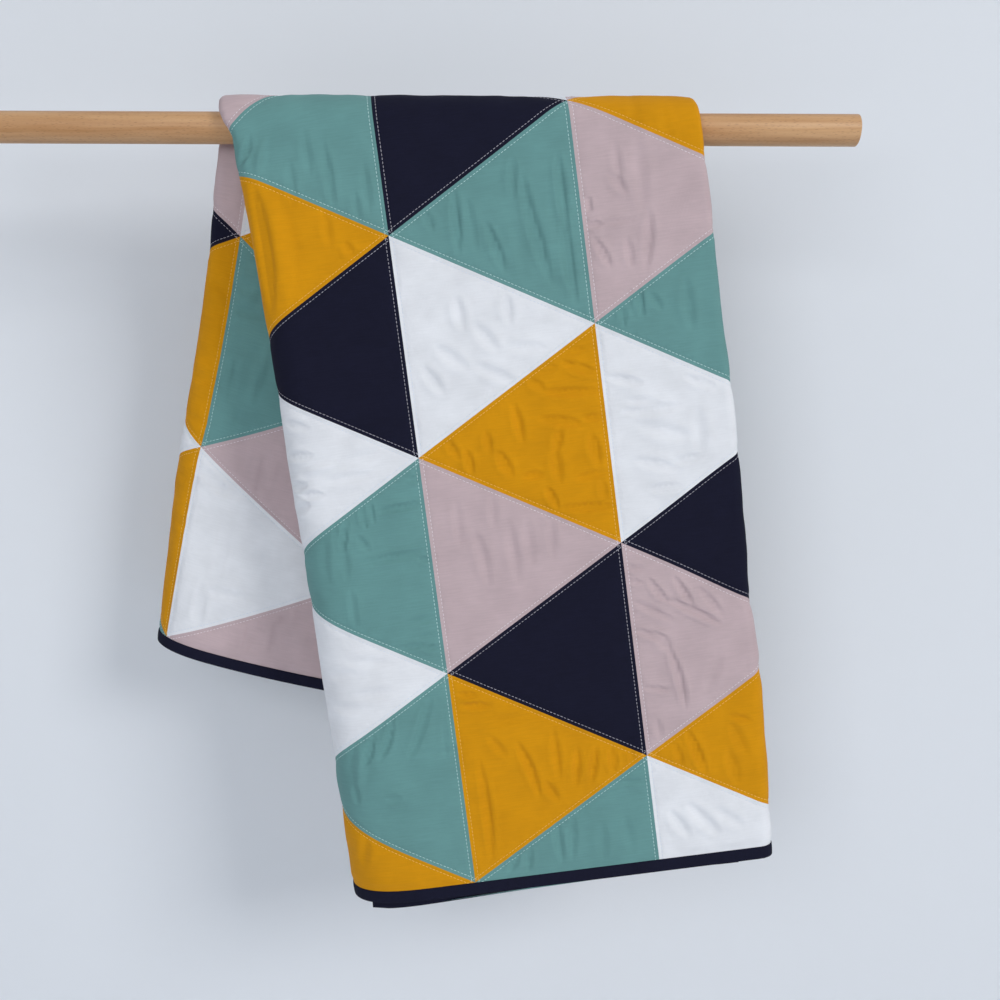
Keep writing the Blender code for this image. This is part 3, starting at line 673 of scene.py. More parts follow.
def back_height(cloth, along):
    """Depth of the plain back under the cloth's middle."""
    seam = seam_distance(cloth, along)
    puffed = STITCHED_HEIGHT + (PUFFED_HEIGHT - 0.0002 - STITCHED_HEIGHT) * ease(seam / SLOW_REACH)
    edge = edge_distance(cloth, along)
    puffed = np.minimum(puffed, PRESSED_HEIGHT)
    return np.where(edge < 0.001, EDGE_HEIGHT, puffed)


def patch_corners(column, piece):
    """Corners of one triangle: the two ends of its base, cut off at the hems, and its tip."""
    even_line = column + column % 2
    odd_line = 2 * column + 1 - even_line
    base, tip = (even_line, odd_line) if piece % 2 == 0 else (odd_line, even_line)
    middle = piece / 2
    low = max(middle - 0.5, 0)
    high = min(middle + 0.5, SIDES_LONG)
    corners = [(base, low), (base, high), (tip, middle)]
    if tip < base:
        corners.reverse()
    return np.array([(line * PATCH_HEIGHT, side * PATCH_SIDE) for line, side in corners])


def patch_is_seen(column, piece):
    """Whether a patch shows from the front: on the outer layer, or on the back drop's left."""
    front = column in (2, 3, 4) and piece <= 8
    back_drop = (column == 1 and piece >= 8) or (column == 2 and piece >= 9)
    return front or back_drop


ALL_CREASES = (*CREASES, *guessed_creases())


def patch_fineness(column, piece):
    """Points along the sides of a patch's inner grid."""
    if patch_is_seen(column, piece):
        return SEEN_POINTS if piece <= 8 else BEHIND_POINTS
    return HIDDEN_POINTS


def patch_letter(cloth, along):
    """Letter of the cotton at a place on the quilt."""
    column = int(np.clip(cloth / PATCH_HEIGHT, 0, COLUMNS - 0.001))
    from_even = abs(cloth / PATCH_HEIGHT - column - column % 2)
    side = along / PATCH_SIDE
    nearest = round(side)
    on_base = abs(side - nearest) < (1 - from_even) / 2
    piece = 2 * nearest if on_base else 2 * int(side) + 1
    return PATCH_COLOURS[column][min(piece, int(2 * SIDES_LONG))]


def ring_grid(seam_points, points, rings):
    """Faces of a triangle that is meshed as rings inside its sides and a grid inside those.

    The outermost ring has seam_points to a side, a multiple of the points of the others.
    """
    faces = []
    ratio = seam_points // points
    outer_count, round_it = 3 * seam_points, 3 * points
    first = outer_count if rings > 1 else 0
    if rings > 1:
        for place in range(round_it):
            a, b = first + place, first + (place + 1) % round_it
            outer = [(place * ratio + i) % outer_count for i in range(ratio + 1)]
            half = ratio // 2
            if ratio == 1:
                faces.append((outer[0], outer[1], b, a))
                continue
            faces += [(outer[i], outer[i + 1], a) for i in range(half)]
            faces.append((outer[half], b, a))
            faces += [(outer[i], outer[i + 1], b) for i in range(half, ratio)]
    for ring in range(rings - 2):
        for place in range(round_it):
            after = (place + 1) % round_it
            a, b = first + ring * round_it + place, first + ring * round_it + after
            faces.append((a, b, b + round_it, a + round_it))
    last = first + max(rings - 2, 0) * round_it
    index = {}
    for place in range(points):
        index[(place, 0)] = last + place
        index[(points - place, place)] = last + points + place
        index[(0, points - place)] = last + 2 * points + place
    inner = []
    for up in range(1, points):
        for over in range(1, points - up):
            index[(over, up)] = last + round_it + len(inner)
            inner.append((over / points, up / points))
    for up in range(points):
        for over in range(points - up):
            faces.append((index[(over, up)], index[(over + 1, up)], index[(over, up + 1)]))
            if over + up < points - 1:
                faces.append((index[(over + 1, up)], index[(over + 1, up + 1)], index[(over, up + 1)]))
    return faces, np.array(inner)


def ring_points(corners, seam_points, points, insets, inner):
    """Places of the points that ring_grid numbers, for a triangle with these corners."""
    sides = [np.linalg.norm(corners[(i + 1) % 3] - corners[(i + 2) % 3]) for i in range(3)]
    centre = sum(side * corner for side, corner in zip(sides, corners)) / sum(sides)
    spans = corners[1:] - corners[0]
    area = abs(spans[0, 0] * spans[1, 1] - spans[0, 1] * spans[1, 0]) / 2
    inner_radius = 2 * area / sum(sides)
    places = []
    for ring, inset in enumerate(insets):
        count = seam_points if ring == 0 else points
        part = np.arange(count)[:, None] / count
        pulled = corners + (centre - corners) * inset / inner_radius
        for i in range(3):
            places.append(pulled[i] + (pulled[(i + 1) % 3] - pulled[i]) * part)
    over, up = pulled[1] - pulled[0], pulled[2] - pulled[0]
    places.append(pulled[0] + inner[:, :1] * over + inner[:, 1:] * up)
    return np.concatenate(places)


def flat_cloth(seam_points, fineness, insets, colour_slots):
    """The whole quilt top as a flat mesh in its own distances across and along."""
    grids = {}
    bm = bmesh.new()
    for column in range(COLUMNS):
        for piece in range(int(2 * SIDES_LONG) + 1):
            points = fineness(column, piece)
            if points not in grids:
                grids[points] = ring_grid(seam_points, points, len(insets))
            faces, inner = grids[points]
            places = ring_points(patch_corners(column, piece), seam_points, points, insets, inner)
            verts = [bm.verts.new((x, y, 0)) for x, y in places]
            slot = colour_slots[PATCH_COLOURS[column][piece]]
            for face in faces:
                bm.faces.new([verts[i] for i in face]).material_index = slot
    bmesh.ops.remove_doubles(bm, verts=bm.verts, dist=MERGED)
    bmesh.ops.recalc_face_normals(bm, faces=bm.faces)
    if bm.faces[:][0].normal.z < 0:
        bmesh.ops.reverse_faces(bm, faces=bm.faces)
    trim_last_column(bm)
    add_bend_lines(bm)
    add_wrap_lines(bm)
    add_edge_strip(bm)
    return bm


def trim_last_column(bm):
    """Cuts the last column off where the quilt was squared up."""
    geometry = [*bm.verts, *bm.edges, *bm.faces]
    bmesh.ops.bisect_plane(bm, geom=geometry, plane_co=(TOP_WIDTH, 0, 0), plane_no=(1, 0, 0),
                           dist=MERGED, clear_outer=True)


def cut_faces(bm, faces, places, across):
    """Cuts some of the mesh's faces along parallel lines."""
    geometry = list(dict.fromkeys(item for face in faces for item in (face, *face.edges, *face.verts)))
    for place in places:
        cut = bmesh.ops.bisect_plane(bm, geom=geometry, plane_co=(*place, 0),
                                     plane_no=(*across, 0), dist=ON_LINE)
        geometry = cut["geom"]


def add_bend_lines(bm):
    """Cuts the mesh along lines beside each fold, so that it can bend there."""
    for start, end, step in (LEFT_BEND_LINES, RIGHT_BEND_LINES):
        near = [face for face in bm.faces
                if start - BEND_MARGIN < face.calc_center_median().x < end + BEND_MARGIN]
        cut_faces(bm, near, [(line, 0) for line in np.arange(start, end, step)], (1, 0))


def add_wrap_lines(bm):
    """Cuts the coarser patches along the rod, where the cloth bends round it."""
    folds = (-1.0, LEFT_FOLD * PATCH_HEIGHT, RIGHT_FOLD * PATCH_HEIGHT, 2.0)
    for low, high in zip(folds[:-1], folds[1:]):
        middle = np.clip((low + high) / 2, 0.05, TOP_WIDTH - 0.05)
        crest = crest_along(np.array([middle, middle + 0.01]))
        slope = (crest[1] - crest[0]) / 0.01
        near = []
        for face in bm.faces:
            spot = face.calc_center_median()
            away = abs(spot.y - crest[0] - slope * (spot.x - middle))
            if low < spot.x < high and away < WRAP_HALF + BEND_MARGIN and face.calc_area() > COARSE_FACE:
                near.append(face)
        lines = np.arange(-WRAP_HALF, WRAP_HALF + 0.001, WRAP_BEND_STEP)
        cut_faces(bm, near, [(middle, crest[0] + line) for line in lines], (-slope, 1))


def add_edge_strip(bm):
    """Runs the cloth on past its four edges, to lie inside the binding."""
    rim = [edge for edge in bm.edges if edge.is_boundary]
    outer = bmesh.ops.extrude_edge_only(bm, edges=rim)["geom"]
    for vert in outer:
        if not isinstance(vert, bmesh.types.BMVert):
            continue
        for axis, far_edge in enumerate((TOP_WIDTH, TOP_LENGTH)):
            if vert.co[axis] < ON_LINE:
                vert.co[axis] = -BINDING_WIDTH
            elif vert.co[axis] > far_edge - ON_LINE:
                vert.co[axis] = far_edge + BINDING_WIDTH


def hang_mesh(bm, height_of, sign):
    """Moves a flat mesh to its place on the hanging quilt, and keeps where it came from."""
    flat = np.array([vert.co for vert in bm.verts])
    cloth, along = flat[:, 0], flat[:, 1]
    places = hang(cloth, along) + sign * facing(cloth, along) * height_of(cloth, along)[:, None]
    cloth_map = bm.loops.layers.uv.new("cloth")
    for face in bm.faces:
        for loop in face.loops:
            loop[cloth_map].uv = loop.vert.co.xy
    seam = bm.verts.layers.float.new("seam_distance")
    on_face = bm.verts.layers.float.new("on_face")
    distances = seam_distance(cloth, along)
    inside = edge_distance(cloth, along) > HEM_MARGIN
    for vert, place, distance, is_inside in zip(bm.verts, places, distances, inside):
        vert.co = place
        vert[seam] = distance
        vert[on_face] = float(sign > 0 and is_inside)


def true_normals(bm):
    """Directions out of the true surface at each point, which the mesh's own faces would blur."""
    bm.normal_update()
    bm.verts.index_update()
    normals = np.array([vert.normal for vert in bm.verts])
    cloth_map = bm.loops.layers.uv["cloth"]
    on_face = bm.verts.layers.float["on_face"]
    picked, flat = [], []
    for vert in bm.verts:
        if vert[on_face] > 0.5 and vert.link_loops:
            picked.append(vert.index)
            flat.append(tuple(vert.link_loops[0][cloth_map].uv))
    flat = np.array(flat)
    bm.verts.layers.float.remove(on_face)

    def surface(cloth, along):
        return hang(cloth, along) + facing(cloth, along) * face_height(cloth, along)[:, None]

    cloth, along = flat.T
    across = surface(cloth + NORMAL_STEP, along) - surface(cloth - NORMAL_STEP, along)
    lengthwise = surface(cloth, along + NORMAL_STEP) - surface(cloth, along - NORMAL_STEP)
    found = np.cross(across, lengthwise)
    found /= np.linalg.norm(found, axis=1)[:, None]
    if np.mean(np.sum(found * normals[picked], axis=1)) < 0:
        found = -found
    normals[picked] = found
    return normals


def mesh_object(name, bm, materials):
    """Makes a finished object at the origin from a bmesh in world places."""
    mesh = bpy.data.meshes.new(name)
    bm.to_mesh(mesh)
    bm.free()
    for material in materials:
        mesh.materials.append(material)
    mesh.shade_smooth()
    made = bpy.data.objects.new(name, mesh)
    bpy.context.scene.collection.objects.link(made)
    return made


def set_sockets(tree, node, sockets):
    """Sets a node's input sockets, or links them where the value is another node's output."""
    for name, value in sockets.items():
        if isinstance(value, bpy.types.NodeSocket):
            tree.links.new(value, node.inputs[name])
        else:
            node.inputs[name].default_value = value


def add_node(tree, kind, sockets=None, **options):
    """Adds a node with its options and input sockets, and returns its outputs."""
    node = tree.nodes.new(kind)
    for name, value in options.items():
        setattr(node, name, value)
    set_sockets(tree, node, sockets or {})
    return node.outputs


def noise(tree, place, scale, **sockets):
    """Soft noise from 0 to 1."""
    return add_node(tree, "ShaderNodeTexNoise", {"Vector": place, "Scale": scale, **sockets})["Fac"]


def stretched(tree, place, scale):
    """Texture places scaled by their own amount along each axis."""
    return add_node(tree, "ShaderNodeMapping", {"Vector": place, "Scale": scale})[0]


def ranged(tree, value, low, high, to_low, to_high):
    """A value mapped from one range to another, and kept inside that."""
    return add_node(tree, "ShaderNodeMapRange", {"Value": value, 1: low, 2: high, 3: to_low, 4: to_high})[0]


def multiplied(tree, first, second):
    return add_node(tree, "ShaderNodeMath", {0: first, 1: second}, operation="MULTIPLY")[0]


def scaled(tree, colour, amount):
    return add_node(tree, "ShaderNodeVectorMath", {0: colour, "Scale": amount}, operation="SCALE")[0]


def mixed(tree, share, first, second):
    """A mix of two colours."""
    return add_node(tree, "ShaderNodeMix", {0: share, 6: first, 7: second}, data_type="RGBA")[2]


def bumped(tree, height, strength, distance, **sockets):
    """A normal that leans with a height."""
    sockets.update(Height=height, Strength=strength, Distance=distance)
    return add_node(tree, "ShaderNodeBump", sockets)[0]


def new_material(name):
    """An empty material with its Principled shader."""
    material = bpy.data.materials.new(name)
    material.use_nodes = True
    tree = material.node_tree
    return material, tree, tree.nodes["Principled BSDF"]


def cotton(kind, colour):
    """Plain-weave quilting cotton, washed soft: matt, with a faint thread grid and slubs."""
    material, tree, shader = new_material(kind.name)
    place = add_node(tree, "ShaderNodeTexCoord")["UV"]
    waves = [add_node(tree, "ShaderNodeTexWave", {"Vector": place, "Scale": WEAVE_SCALE, "Distortion": 0.6},
                      bands_direction=way)["Fac"] for way in "XY"]
    cloudy = ranged(tree, noise(tree, place, DYE_SCALE, Detail=3.0), 0.3, 0.7, 0.0, 1.0)
    dyed = mixed(tree, cloudy, (*(DARKER_THREADS * part for part in colour), 1), (*colour, 1))
    slub = noise(tree, stretched(tree, place, SLUB_SCALE), 1.0)
    slub = ranged(tree, slub, 0.35, 0.65, 1.0 - kind.slubs, 1.0 + kind.slubs)
    near = add_node(tree, "ShaderNodeAttribute", attribute_name="seam_distance")["Fac"]
    fade = ranged(tree, near, 0.002, 0.016, 1.0, 0.12)
    puckers = multiplied(tree, noise(tree, place, PUCKER_SCALE), fade)
    puckers = bumped(tree, puckers, 0.5, 0.0012)
    set_sockets(tree, shader, {
        "Base Color": scaled(tree, dyed, slub),
        "Normal": bumped(tree, multiplied(tree, *waves), 0.35, 0.00012, Normal=puckers),
        "Roughness": 0.88,
        "Specular IOR Level": 0.16,
        "Sheen Weight": kind.sheen,
        "Sheen Roughness": 0.55,
    })
    return material


def thread_material():
    """Fine pale cotton sewing thread, half sunk in the cloth, whose colour shines through it."""
    material, tree, shader = new_material("sewing_thread")
    colour = add_node(tree, "ShaderNodeAttribute", attribute_name="thread_colour")["Color"]
    place = add_node(tree, "ShaderNodeTexCoord")["Object"]
    twist = ranged(tree, noise(tree, place, TWIST_SCALE), 0.3, 0.7, 0.84, 1.0)
    set_sockets(tree, shader, {"Base Color": scaled(tree, colour, twist), "Roughness": 0.55,
                               "Sheen Weight": 0.2})
    return material


def beech(light_wood, dark_wood):
    """Steamed beech, sanded and oiled: honey brown with soft streaks and short dark flecks."""
    material, tree, shader = new_material("oiled_beech")
    place = add_node(tree, "ShaderNodeTexCoord")["Object"]
    streak = noise(tree, stretched(tree, place, STREAK_SCALE), 1.0, Detail=4.0, Roughness=0.6)
    base = mixed(tree, ranged(tree, streak, 0.3, 0.7, 0.0, 1.0), (*dark_wood, 1), (*light_wood, 1))
    fleck = add_node(tree, "ShaderNodeTexVoronoi",
                     {"Vector": stretched(tree, place, FLECK_SCALE), "Scale": 1.0})["Distance"]
    flecked = mixed(tree, ranged(tree, fleck, 0.05, 0.30, 0.55, 0.0), base, (*linear(FLECK), 1))
    set_sockets(tree, shader, {"Base Color": flecked, "Normal": bumped(tree, streak, 0.25, 0.0003),
                               "Roughness": 0.45})
    return material


def painted_wall(colour):
    """Matt wall paint, pale blue-grey, with the faintest cloudiness. Clear when seen from behind."""
    material, tree, shader = new_material("wall_paint")
    place = add_node(tree, "ShaderNodeTexCoord")["Object"]
    cloudy = mixed(tree, noise(tree, place, CLOUD_SCALE), (*(0.97 * part for part in colour), 1),
                   (*colour, 1))
    set_sockets(tree, shader, {"Base Color": cloudy, "Roughness": 0.9, "Specular IOR Level": 0.1})
    behind = add_node(tree, "ShaderNodeNewGeometry")["Backfacing"]
    clear = add_node(tree, "ShaderNodeBsdfTransparent")[0]
    one_sided = add_node(tree, "ShaderNodeMixShader", {0: behind, 1: shader.outputs[0], 2: clear})[0]
    set_sockets(tree, tree.nodes["Material Output"], {"Surface": one_sided})
    return material


def colour_setting(label, description, hex_colour):
    """A colour that a user can change."""
    return FloatVectorProperty(name=label, description=description, subtype="COLOR",
                               size=3, min=0, max=1, default=linear(hex_colour))


def size_setting(label, description, size, **options):
    """A length that a user can change."""
    return FloatProperty(name=label, description=description, unit="LENGTH", default=size, **options)


def power_setting(label, description, power):
    """The power of a light, which a user can change."""
    return FloatProperty(name=label, description=description, unit="POWER", min=0, default=power)


class ClothSettings(bpy.types.PropertyGroup):
    """Colours of the patches and depth of the creases."""

    navy: colour_setting("Navy", "Colour of the navy patches", "#16172b")
    teal: colour_setting("Teal", "Colour of the teal patches", "#6a9998")
    mustard: colour_setting("Mustard", "Colour of the mustard patches", "#d99508")
    rose_grey: colour_setting("Rose grey", "Colour of the rose grey patches", "#c6b1b5")
    white: colour_setting("White", "Colour of the white patches", "#eceef3")
    backing: colour_setting("Backing", "Colour of the plain back", "#dfe0e4")
    crease_strength: FloatProperty(name="Crease strength", description="How deep the creases are",
                                   min=0, max=6, default=3.2, subtype="FACTOR")


class BindingSettings(bpy.types.PropertyGroup):
    """Colour of the binding."""

    colour: colour_setting("Binding", "Colour of the binding", "#16172b")


class RodSettings(bpy.types.PropertyGroup):
    """Size and colours of the rod."""

    length: size_setting("Length", "Length of the rod", ROD_LENGTH)
    diameter: size_setting("Diameter", "Thickness of the rod", ROD_DIAMETER)
    light_wood: colour_setting("Light wood", "Colour between the streaks", "#d8ad80")
    dark_wood: colour_setting("Dark wood", "Colour of the streaks", "#b3804f")


class StageSettings(bpy.types.PropertyGroup):
    """Colour and light of the room."""

    wall: colour_setting("Wall", "Colour of the wall and floor", "#e6eaf0")
    window_power: power_setting("Window light", "Power of the light from the right", 136)
    fill_power: power_setting("Fill light", "Power of the light at the left", 36)


class StitchSettings(bpy.types.PropertyGroup):
    """Sizes of the topstitching."""

    spacing: size_setting("Stitch spacing", "From one stitch to the next", 0.0031, precision=4)
    length: size_setting("Stitch length", "Length of thread that shows", 0.0025, precision=4)
    thickness: size_setting("Thread thickness", "Width of the thread", 0.00054, precision=5)
    offset: size_setting("Offset from seam", "From the seam to the stitching", STITCH_OFFSET, precision=4)
    seed: IntProperty(name="Seed", description="Start of the random differences", default=4)


class QUILT_OT_cloth(bpy.types.Operator):
    """Makes the quilt's cloth: patches, loft, creases and back, on its folds"""

    bl_idname = "quilt.make_cloth"
    bl_label = "Make cloth"

    def execute(self, context):
        settings = context.scene.quilt_cloth
        materials = [cotton(kind, getattr(settings, kind.setting)) for kind in (*COTTONS.values(), BACKING)]
        slots = {letter: slot for slot, letter in enumerate(COTTONS)}
        top = flat_cloth(SEAM_POINTS, patch_fineness, SEAM_RINGS, slots)
        hang_mesh(top, face_height, 1)
        back = flat_cloth(BACKING_POINTS, lambda column, piece: BACKING_POINTS, (0.0,),
                          {letter: len(slots) for letter in slots})
        bmesh.ops.reverse_faces(back, faces=back.faces)
        hang_mesh(back, back_height, -1)
        lower = bpy.data.meshes.new("back")
        back.to_mesh(lower)
        back.free()
        top.from_mesh(lower)
        bpy.data.meshes.remove(lower)
        rim = [edge for edge in top.edges if edge.is_boundary]
        bmesh.ops.bridge_loops(top, edges=rim)
        normals = true_normals(top)
        quilt = mesh_object("quilt_patchwork", top, materials)
        quilt.data.normals_split_custom_set_from_vertices(normals)
        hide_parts("quilt")
        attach(quilt, "root")
        return {"FINISHED"}


def stitch_tree():
    """Geometry nodes that lay short stitches of thread along the lines of a mesh."""
    tree = bpy.data.node_groups.new("stitches_along_lines", "GeometryNodeTree")
    kinds = {"Geometry": "Geometry", "Spacing": "Float", "Length": "Float", "Thickness": "Float",
             "Seed": "Int", "Thread": "Material"}
    for name, kind in kinds.items():
        tree.interface.new_socket(name, in_out="INPUT", socket_type="NodeSocket" + kind)
    tree.interface.new_socket("Geometry", in_out="OUTPUT", socket_type="NodeSocketGeometry")
    given = add_node(tree, "NodeGroupInput")
    line = add_node(tree, "GeometryNodeMeshToCurve", {"Mesh": given["Geometry"]})[0]
    spaced = add_node(tree, "GeometryNodeResampleCurve", {"Curve": line, "Length": given["Spacing"]},
                      mode="LENGTH")[0]
    tangent = add_node(tree, "GeometryNodeInputTangent")[0]
    out = add_node(tree, "GeometryNodeInputNamedAttribute", {"Name": "facing"}, data_type="FLOAT_VECTOR")[0]
    turn = add_node(tree, "FunctionNodeAxesToRotation", {"Primary Axis": tangent, "Secondary Axis": out},
                    primary_axis="Z", secondary_axis="X")[0]
    shortest, longest = (multiplied(tree, given["Length"], share) for share in STITCH_SHARES)
    length = add_node(tree, "FunctionNodeRandomValue", {2: shortest, 3: longest, "Seed": given["Seed"]},
                      data_type="FLOAT")[1]
    height = multiplied(tree, given["Thickness"], THREAD_FLATNESS)
    size = add_node(tree, "ShaderNodeCombineXYZ", {"X": height, "Y": given["Thickness"], "Z": length})[0]
    bead = add_node(tree, "GeometryNodeMeshUVSphere", {"Segments": 5, "Rings": 3, "Radius": 0.5})[0]
    placed = add_node(tree, "GeometryNodeInstanceOnPoints",
                      {"Points": spaced, "Instance": bead, "Rotation": turn, "Scale": size})[0]
    real = add_node(tree, "GeometryNodeRealizeInstances", {"Geometry": placed})[0]
    sewn = add_node(tree, "GeometryNodeSetMaterial", {"Geometry": real, "Material": given["Thread"]})[0]
    add_node(tree, "NodeGroupOutput", {"Geometry": sewn})
    return tree


def column_lines(offset):
    """Ends of the stitching beside the seams that run along the quilt."""
    lines = []
    for column in range(1, COLUMNS):
        for side in (-1, 1):
            cloth = column * PATCH_HEIGHT + side * offset
            lines.append(((cloth, 0), (cloth, TOP_LENGTH)))
    return lines


def slanted_lines(offset, way):
    """Ends of the stitching beside the seams that rise or fall, cut off at the quilt's edges."""
    rise = way * PATCH_SIDE / 2 / PATCH_HEIGHT
    shift = offset * PATCH_SIDE / PATCH_HEIGHT
    lines = []
    for seam in range(-COLUMNS, 2 * COLUMNS + 1):
        for side in (-1, 1):
            start = (seam + 0.5) * PATCH_SIDE + side * shift
            spans = sorted((-start / rise, (TOP_LENGTH - start) / rise))
            low, high = max(spans[0], 0), min(spans[1], TOP_WIDTH)
            if high - low > 0.01:
                lines.append(((low, start + rise * low), (high, start + rise * high)))
    return lines


def stitch_rows(name, lines, cloth_tree):
    """Lines of stitching laid on the cloth, each with the direction out of it."""
    mesh = bpy.data.meshes.new(name)
    places, edges, outward, colours = [], [], [], []
    for start, end in lines:
        start, end = np.array(start), np.array(end)
        steps = int(np.linalg.norm(end - start) / STITCH_LINE_STEP)
        share = np.linspace(0, 1, steps + 1)[:, None]
        flat = start + (end - start) * share
        cloth, along = flat[:, 0], flat[:, 1]
        out = facing(cloth, along)
        guess = hang(cloth, along) + out * face_height(cloth, along)[:, None]
        first = len(places)
        colours += [COTTONS[patch_letter(*spot)].thread for spot in flat]
        for place, normal in zip(guess, out):
            found = cloth_tree.find_nearest(Vector(place), STITCH_SEAT)[0]
            places.append(found if found is not None else Vector(place))
            outward.append(normal)
        edges += [(i, i + 1) for i in range(first, len(places) - 1)]
    mesh.from_pydata([tuple(p) for p in places], edges, [])
    stored = mesh.attributes.new("facing", "FLOAT_VECTOR", "POINT")
    stored.data.foreach_set("vector", np.array(outward, np.float32).ravel())
    thread = mesh.attributes.new("thread_colour", "FLOAT_COLOR", "POINT")
    seen = np.array([(*linear(colour), 1) for colour in colours], np.float32)
    thread.data.foreach_set("color", seen.ravel())
    made = bpy.data.objects.new(name, mesh)
    bpy.context.scene.collection.objects.link(made)
    return made


def sew(rows, tree, values):
    """Runs the stitch nodes on the rows and leaves a plain mesh."""
    modifier = rows.modifiers.new("stitches", "NODES")
    modifier.node_group = tree
    sockets = {item.name: item.identifier for item in tree.interface.items_tree
               if item.in_out == "INPUT"}
    for name, value in values.items():
        modifier[sockets[name]] = value
    graph = bpy.context.evaluated_depsgraph_get()
    made = bpy.data.meshes.new_from_object(rows.evaluated_get(graph))
    made.name = rows.name
    rows.modifiers.clear()
    rows.data = made
    made.shade_smooth()
    return rows


class QUILT_OT_stitches(bpy.types.Operator):
    """Sews the topstitching beside every seam, both sides"""

    bl_idname = "quilt.make_stitches"
    bl_label = "Make stitches"

    def execute(self, context):
        settings = context.scene.quilt_stitches
        quilt = bpy.data.objects["quilt_patchwork"]
        bm = bmesh.new()
        bm.from_mesh(quilt.data)
        cloth_tree = BVHTree.FromBMesh(bm)
        bm.free()
        tree = stitch_tree()
        values = {
            "Spacing": settings.spacing,
            "Length": settings.length,
            "Thickness": settings.thickness,
            "Seed": settings.seed,
            "Thread": thread_material(),
        }
        for name, lines in (("stitches_along", column_lines(settings.offset)),
                            ("stitches_rising", slanted_lines(settings.offset, 1)),
                            ("stitches_falling", slanted_lines(settings.offset, -1))):
            rows = sew(stitch_rows(name, lines, cloth_tree), tree, values)
            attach(rows, "root")
        return {"FINISHED"}


def binding_profile():
    """Closed outline of the folded strip: outward from the cloth's edge, and off its middle."""
    sewn = (-BINDING_WIDTH, 0.00100)
    face = [(-BINDING_WIDTH + 0.0004, 0.00135), (-BINDING_WIDTH + 0.0015, 0.00158),
            (-0.0050, 0.00168), (-0.0018, 0.00155)]
    bend = [(0.0001 + 0.0009 * cos(a), 0.00150 * sin(a)) for a in np.radians([60, 30, 0, -30, -60])]
    outer = [sewn, *face, *bend, *[(o, -h) for o, h in reversed(face)], (sewn[0], -sewn[1])]
    inner = [(out, off * BINDING_INSIDE) for out, off in (
        (-BINDING_WIDTH, -1), (0.0003, -1), (0.0003, 1), (-BINDING_WIDTH, 1))]
    return np.array(outer + inner)


def edge_stations(step):
    """Places round the quilt's edge, each with its outward direction in the cloth."""
    left, right = -BINDING_WIDTH, TOP_WIDTH + BINDING_WIDTH
    front, back = -BINDING_WIDTH, TOP_LENGTH + BINDING_WIDTH
    bends = np.concatenate([np.arange(*LEFT_BEND_LINES), np.arange(*RIGHT_BEND_LINES)])
    along_hem = np.linspace(0, TOP_WIDTH, int(TOP_WIDTH / step))[1:-1]
    along_hem = np.array(sorted([*along_hem, *bends]))
    along_side = np.linspace(0, TOP_LENGTH, int(TOP_LENGTH / step))[1:-1]
    stations = [(left, front, -1, -1)]
    stations += [(place, front, 0, -1) for place in along_hem]
    stations += [(right, front, 1, -1)]
    stations += [(right, place, 1, 0) for place in along_side]
    stations += [(right, back, 1, 1)]
    stations += [(place, back, 0, 1) for place in along_hem[::-1]]
    stations += [(left, back, -1, 1)]
    stations += [(left, place, -1, 0) for place in along_side[::-1]]
    return np.array(stations)


class QUILT_OT_binding(bpy.types.Operator):
    """Wraps the navy binding round the quilt's four edges"""

    bl_idname = "quilt.make_binding"
    bl_label = "Make binding"

    def execute(self, context):
        stations = edge_stations(BINDING_STEP)
        profile = binding_profile()
        outward, off = profile[:, 0], profile[:, 1]
        cloth = stations[:, 0:1] + stations[:, 2:3] * outward
        along = stations[:, 1:2] + stations[:, 3:4] * outward
        places = hang(cloth, along) + facing(cloth, along) * off[:, None]
        bm = bmesh.new()
        cloth_map = bm.loops.layers.uv.new("cloth")
        rings = [[bm.verts.new(place) for place in ring] for ring in places]
        count = len(profile)
        for i, ring in enumerate(rings):
            following = rings[(i + 1) % len(rings)]
            for side in range(count):
                beside = (side + 1) % count
                face = bm.faces.new((ring[side], ring[beside], following[beside], following[side]))
                for loop, (row, place) in zip(face.loops, ((i, side), (i, side + 1),
                                                          (i + 1, side + 1), (i + 1, side))):
                    loop[cloth_map].uv = (place * BINDING_POINT_STEP, row * BINDING_STEP)
        bmesh.ops.recalc_face_normals(bm, faces=bm.faces)
        colour = context.scene.quilt_binding.colour
        material = cotton(COTTONS["N"]._replace(name="navy_binding_cotton"), colour)
        binding = mesh_object("quilt_binding", bm, [material])
        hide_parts("binding")
        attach(binding, "root")
        return {"FINISHED"}


class QUILT_OT_rod(bpy.types.Operator):
    """Turns the beech rod with its eased ends"""

    bl_idname = "quilt.make_rod"
    bl_label = "Make rod"

    def execute(self, context):
        bm = bmesh.new()
        settings = context.scene.quilt_rod
        lay = Matrix.Translation((settings.length / 2, 0, 0)) @ Matrix.Rotation(pi / 2, 4, "Y")
        bmesh.ops.create_cone(bm, cap_ends=True, segments=ROD_SIDES, radius1=settings.diameter / 2,
                              radius2=settings.diameter / 2, depth=settings.length, matrix=lay)
        rims = [edge for edge in bm.edges if abs(edge.verts[0].co.x - edge.verts[1].co.x) < 0.001]
        bmesh.ops.bevel(bm, geom=rims, offset=ROD_EASED, segments=3, profile=0.5, affect="EDGES")
        rod = mesh_object("rod_beech", bm, [beech(settings.light_wood, settings.dark_wood)])
        rod.data.set_sharp_from_angle(angle=radians(50))
        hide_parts("rod")
        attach(rod, "root")
        return {"FINISHED"}


def soft_light(name, place, target, size, energy, colour):
    """A square soft box that points at a place."""
    data = bpy.data.lights.new(name, "AREA")
    data.shape = "SQUARE"
    data.size = size
    data.energy = energy
    data.color = colour
    lamp = bpy.data.objects.new(name, data)
    lamp.location = place
    lamp.rotation_euler = (Vector(target) - Vector(place)).to_track_quat("-Z", "Y").to_euler()
    bpy.context.scene.collection.objects.link(lamp)


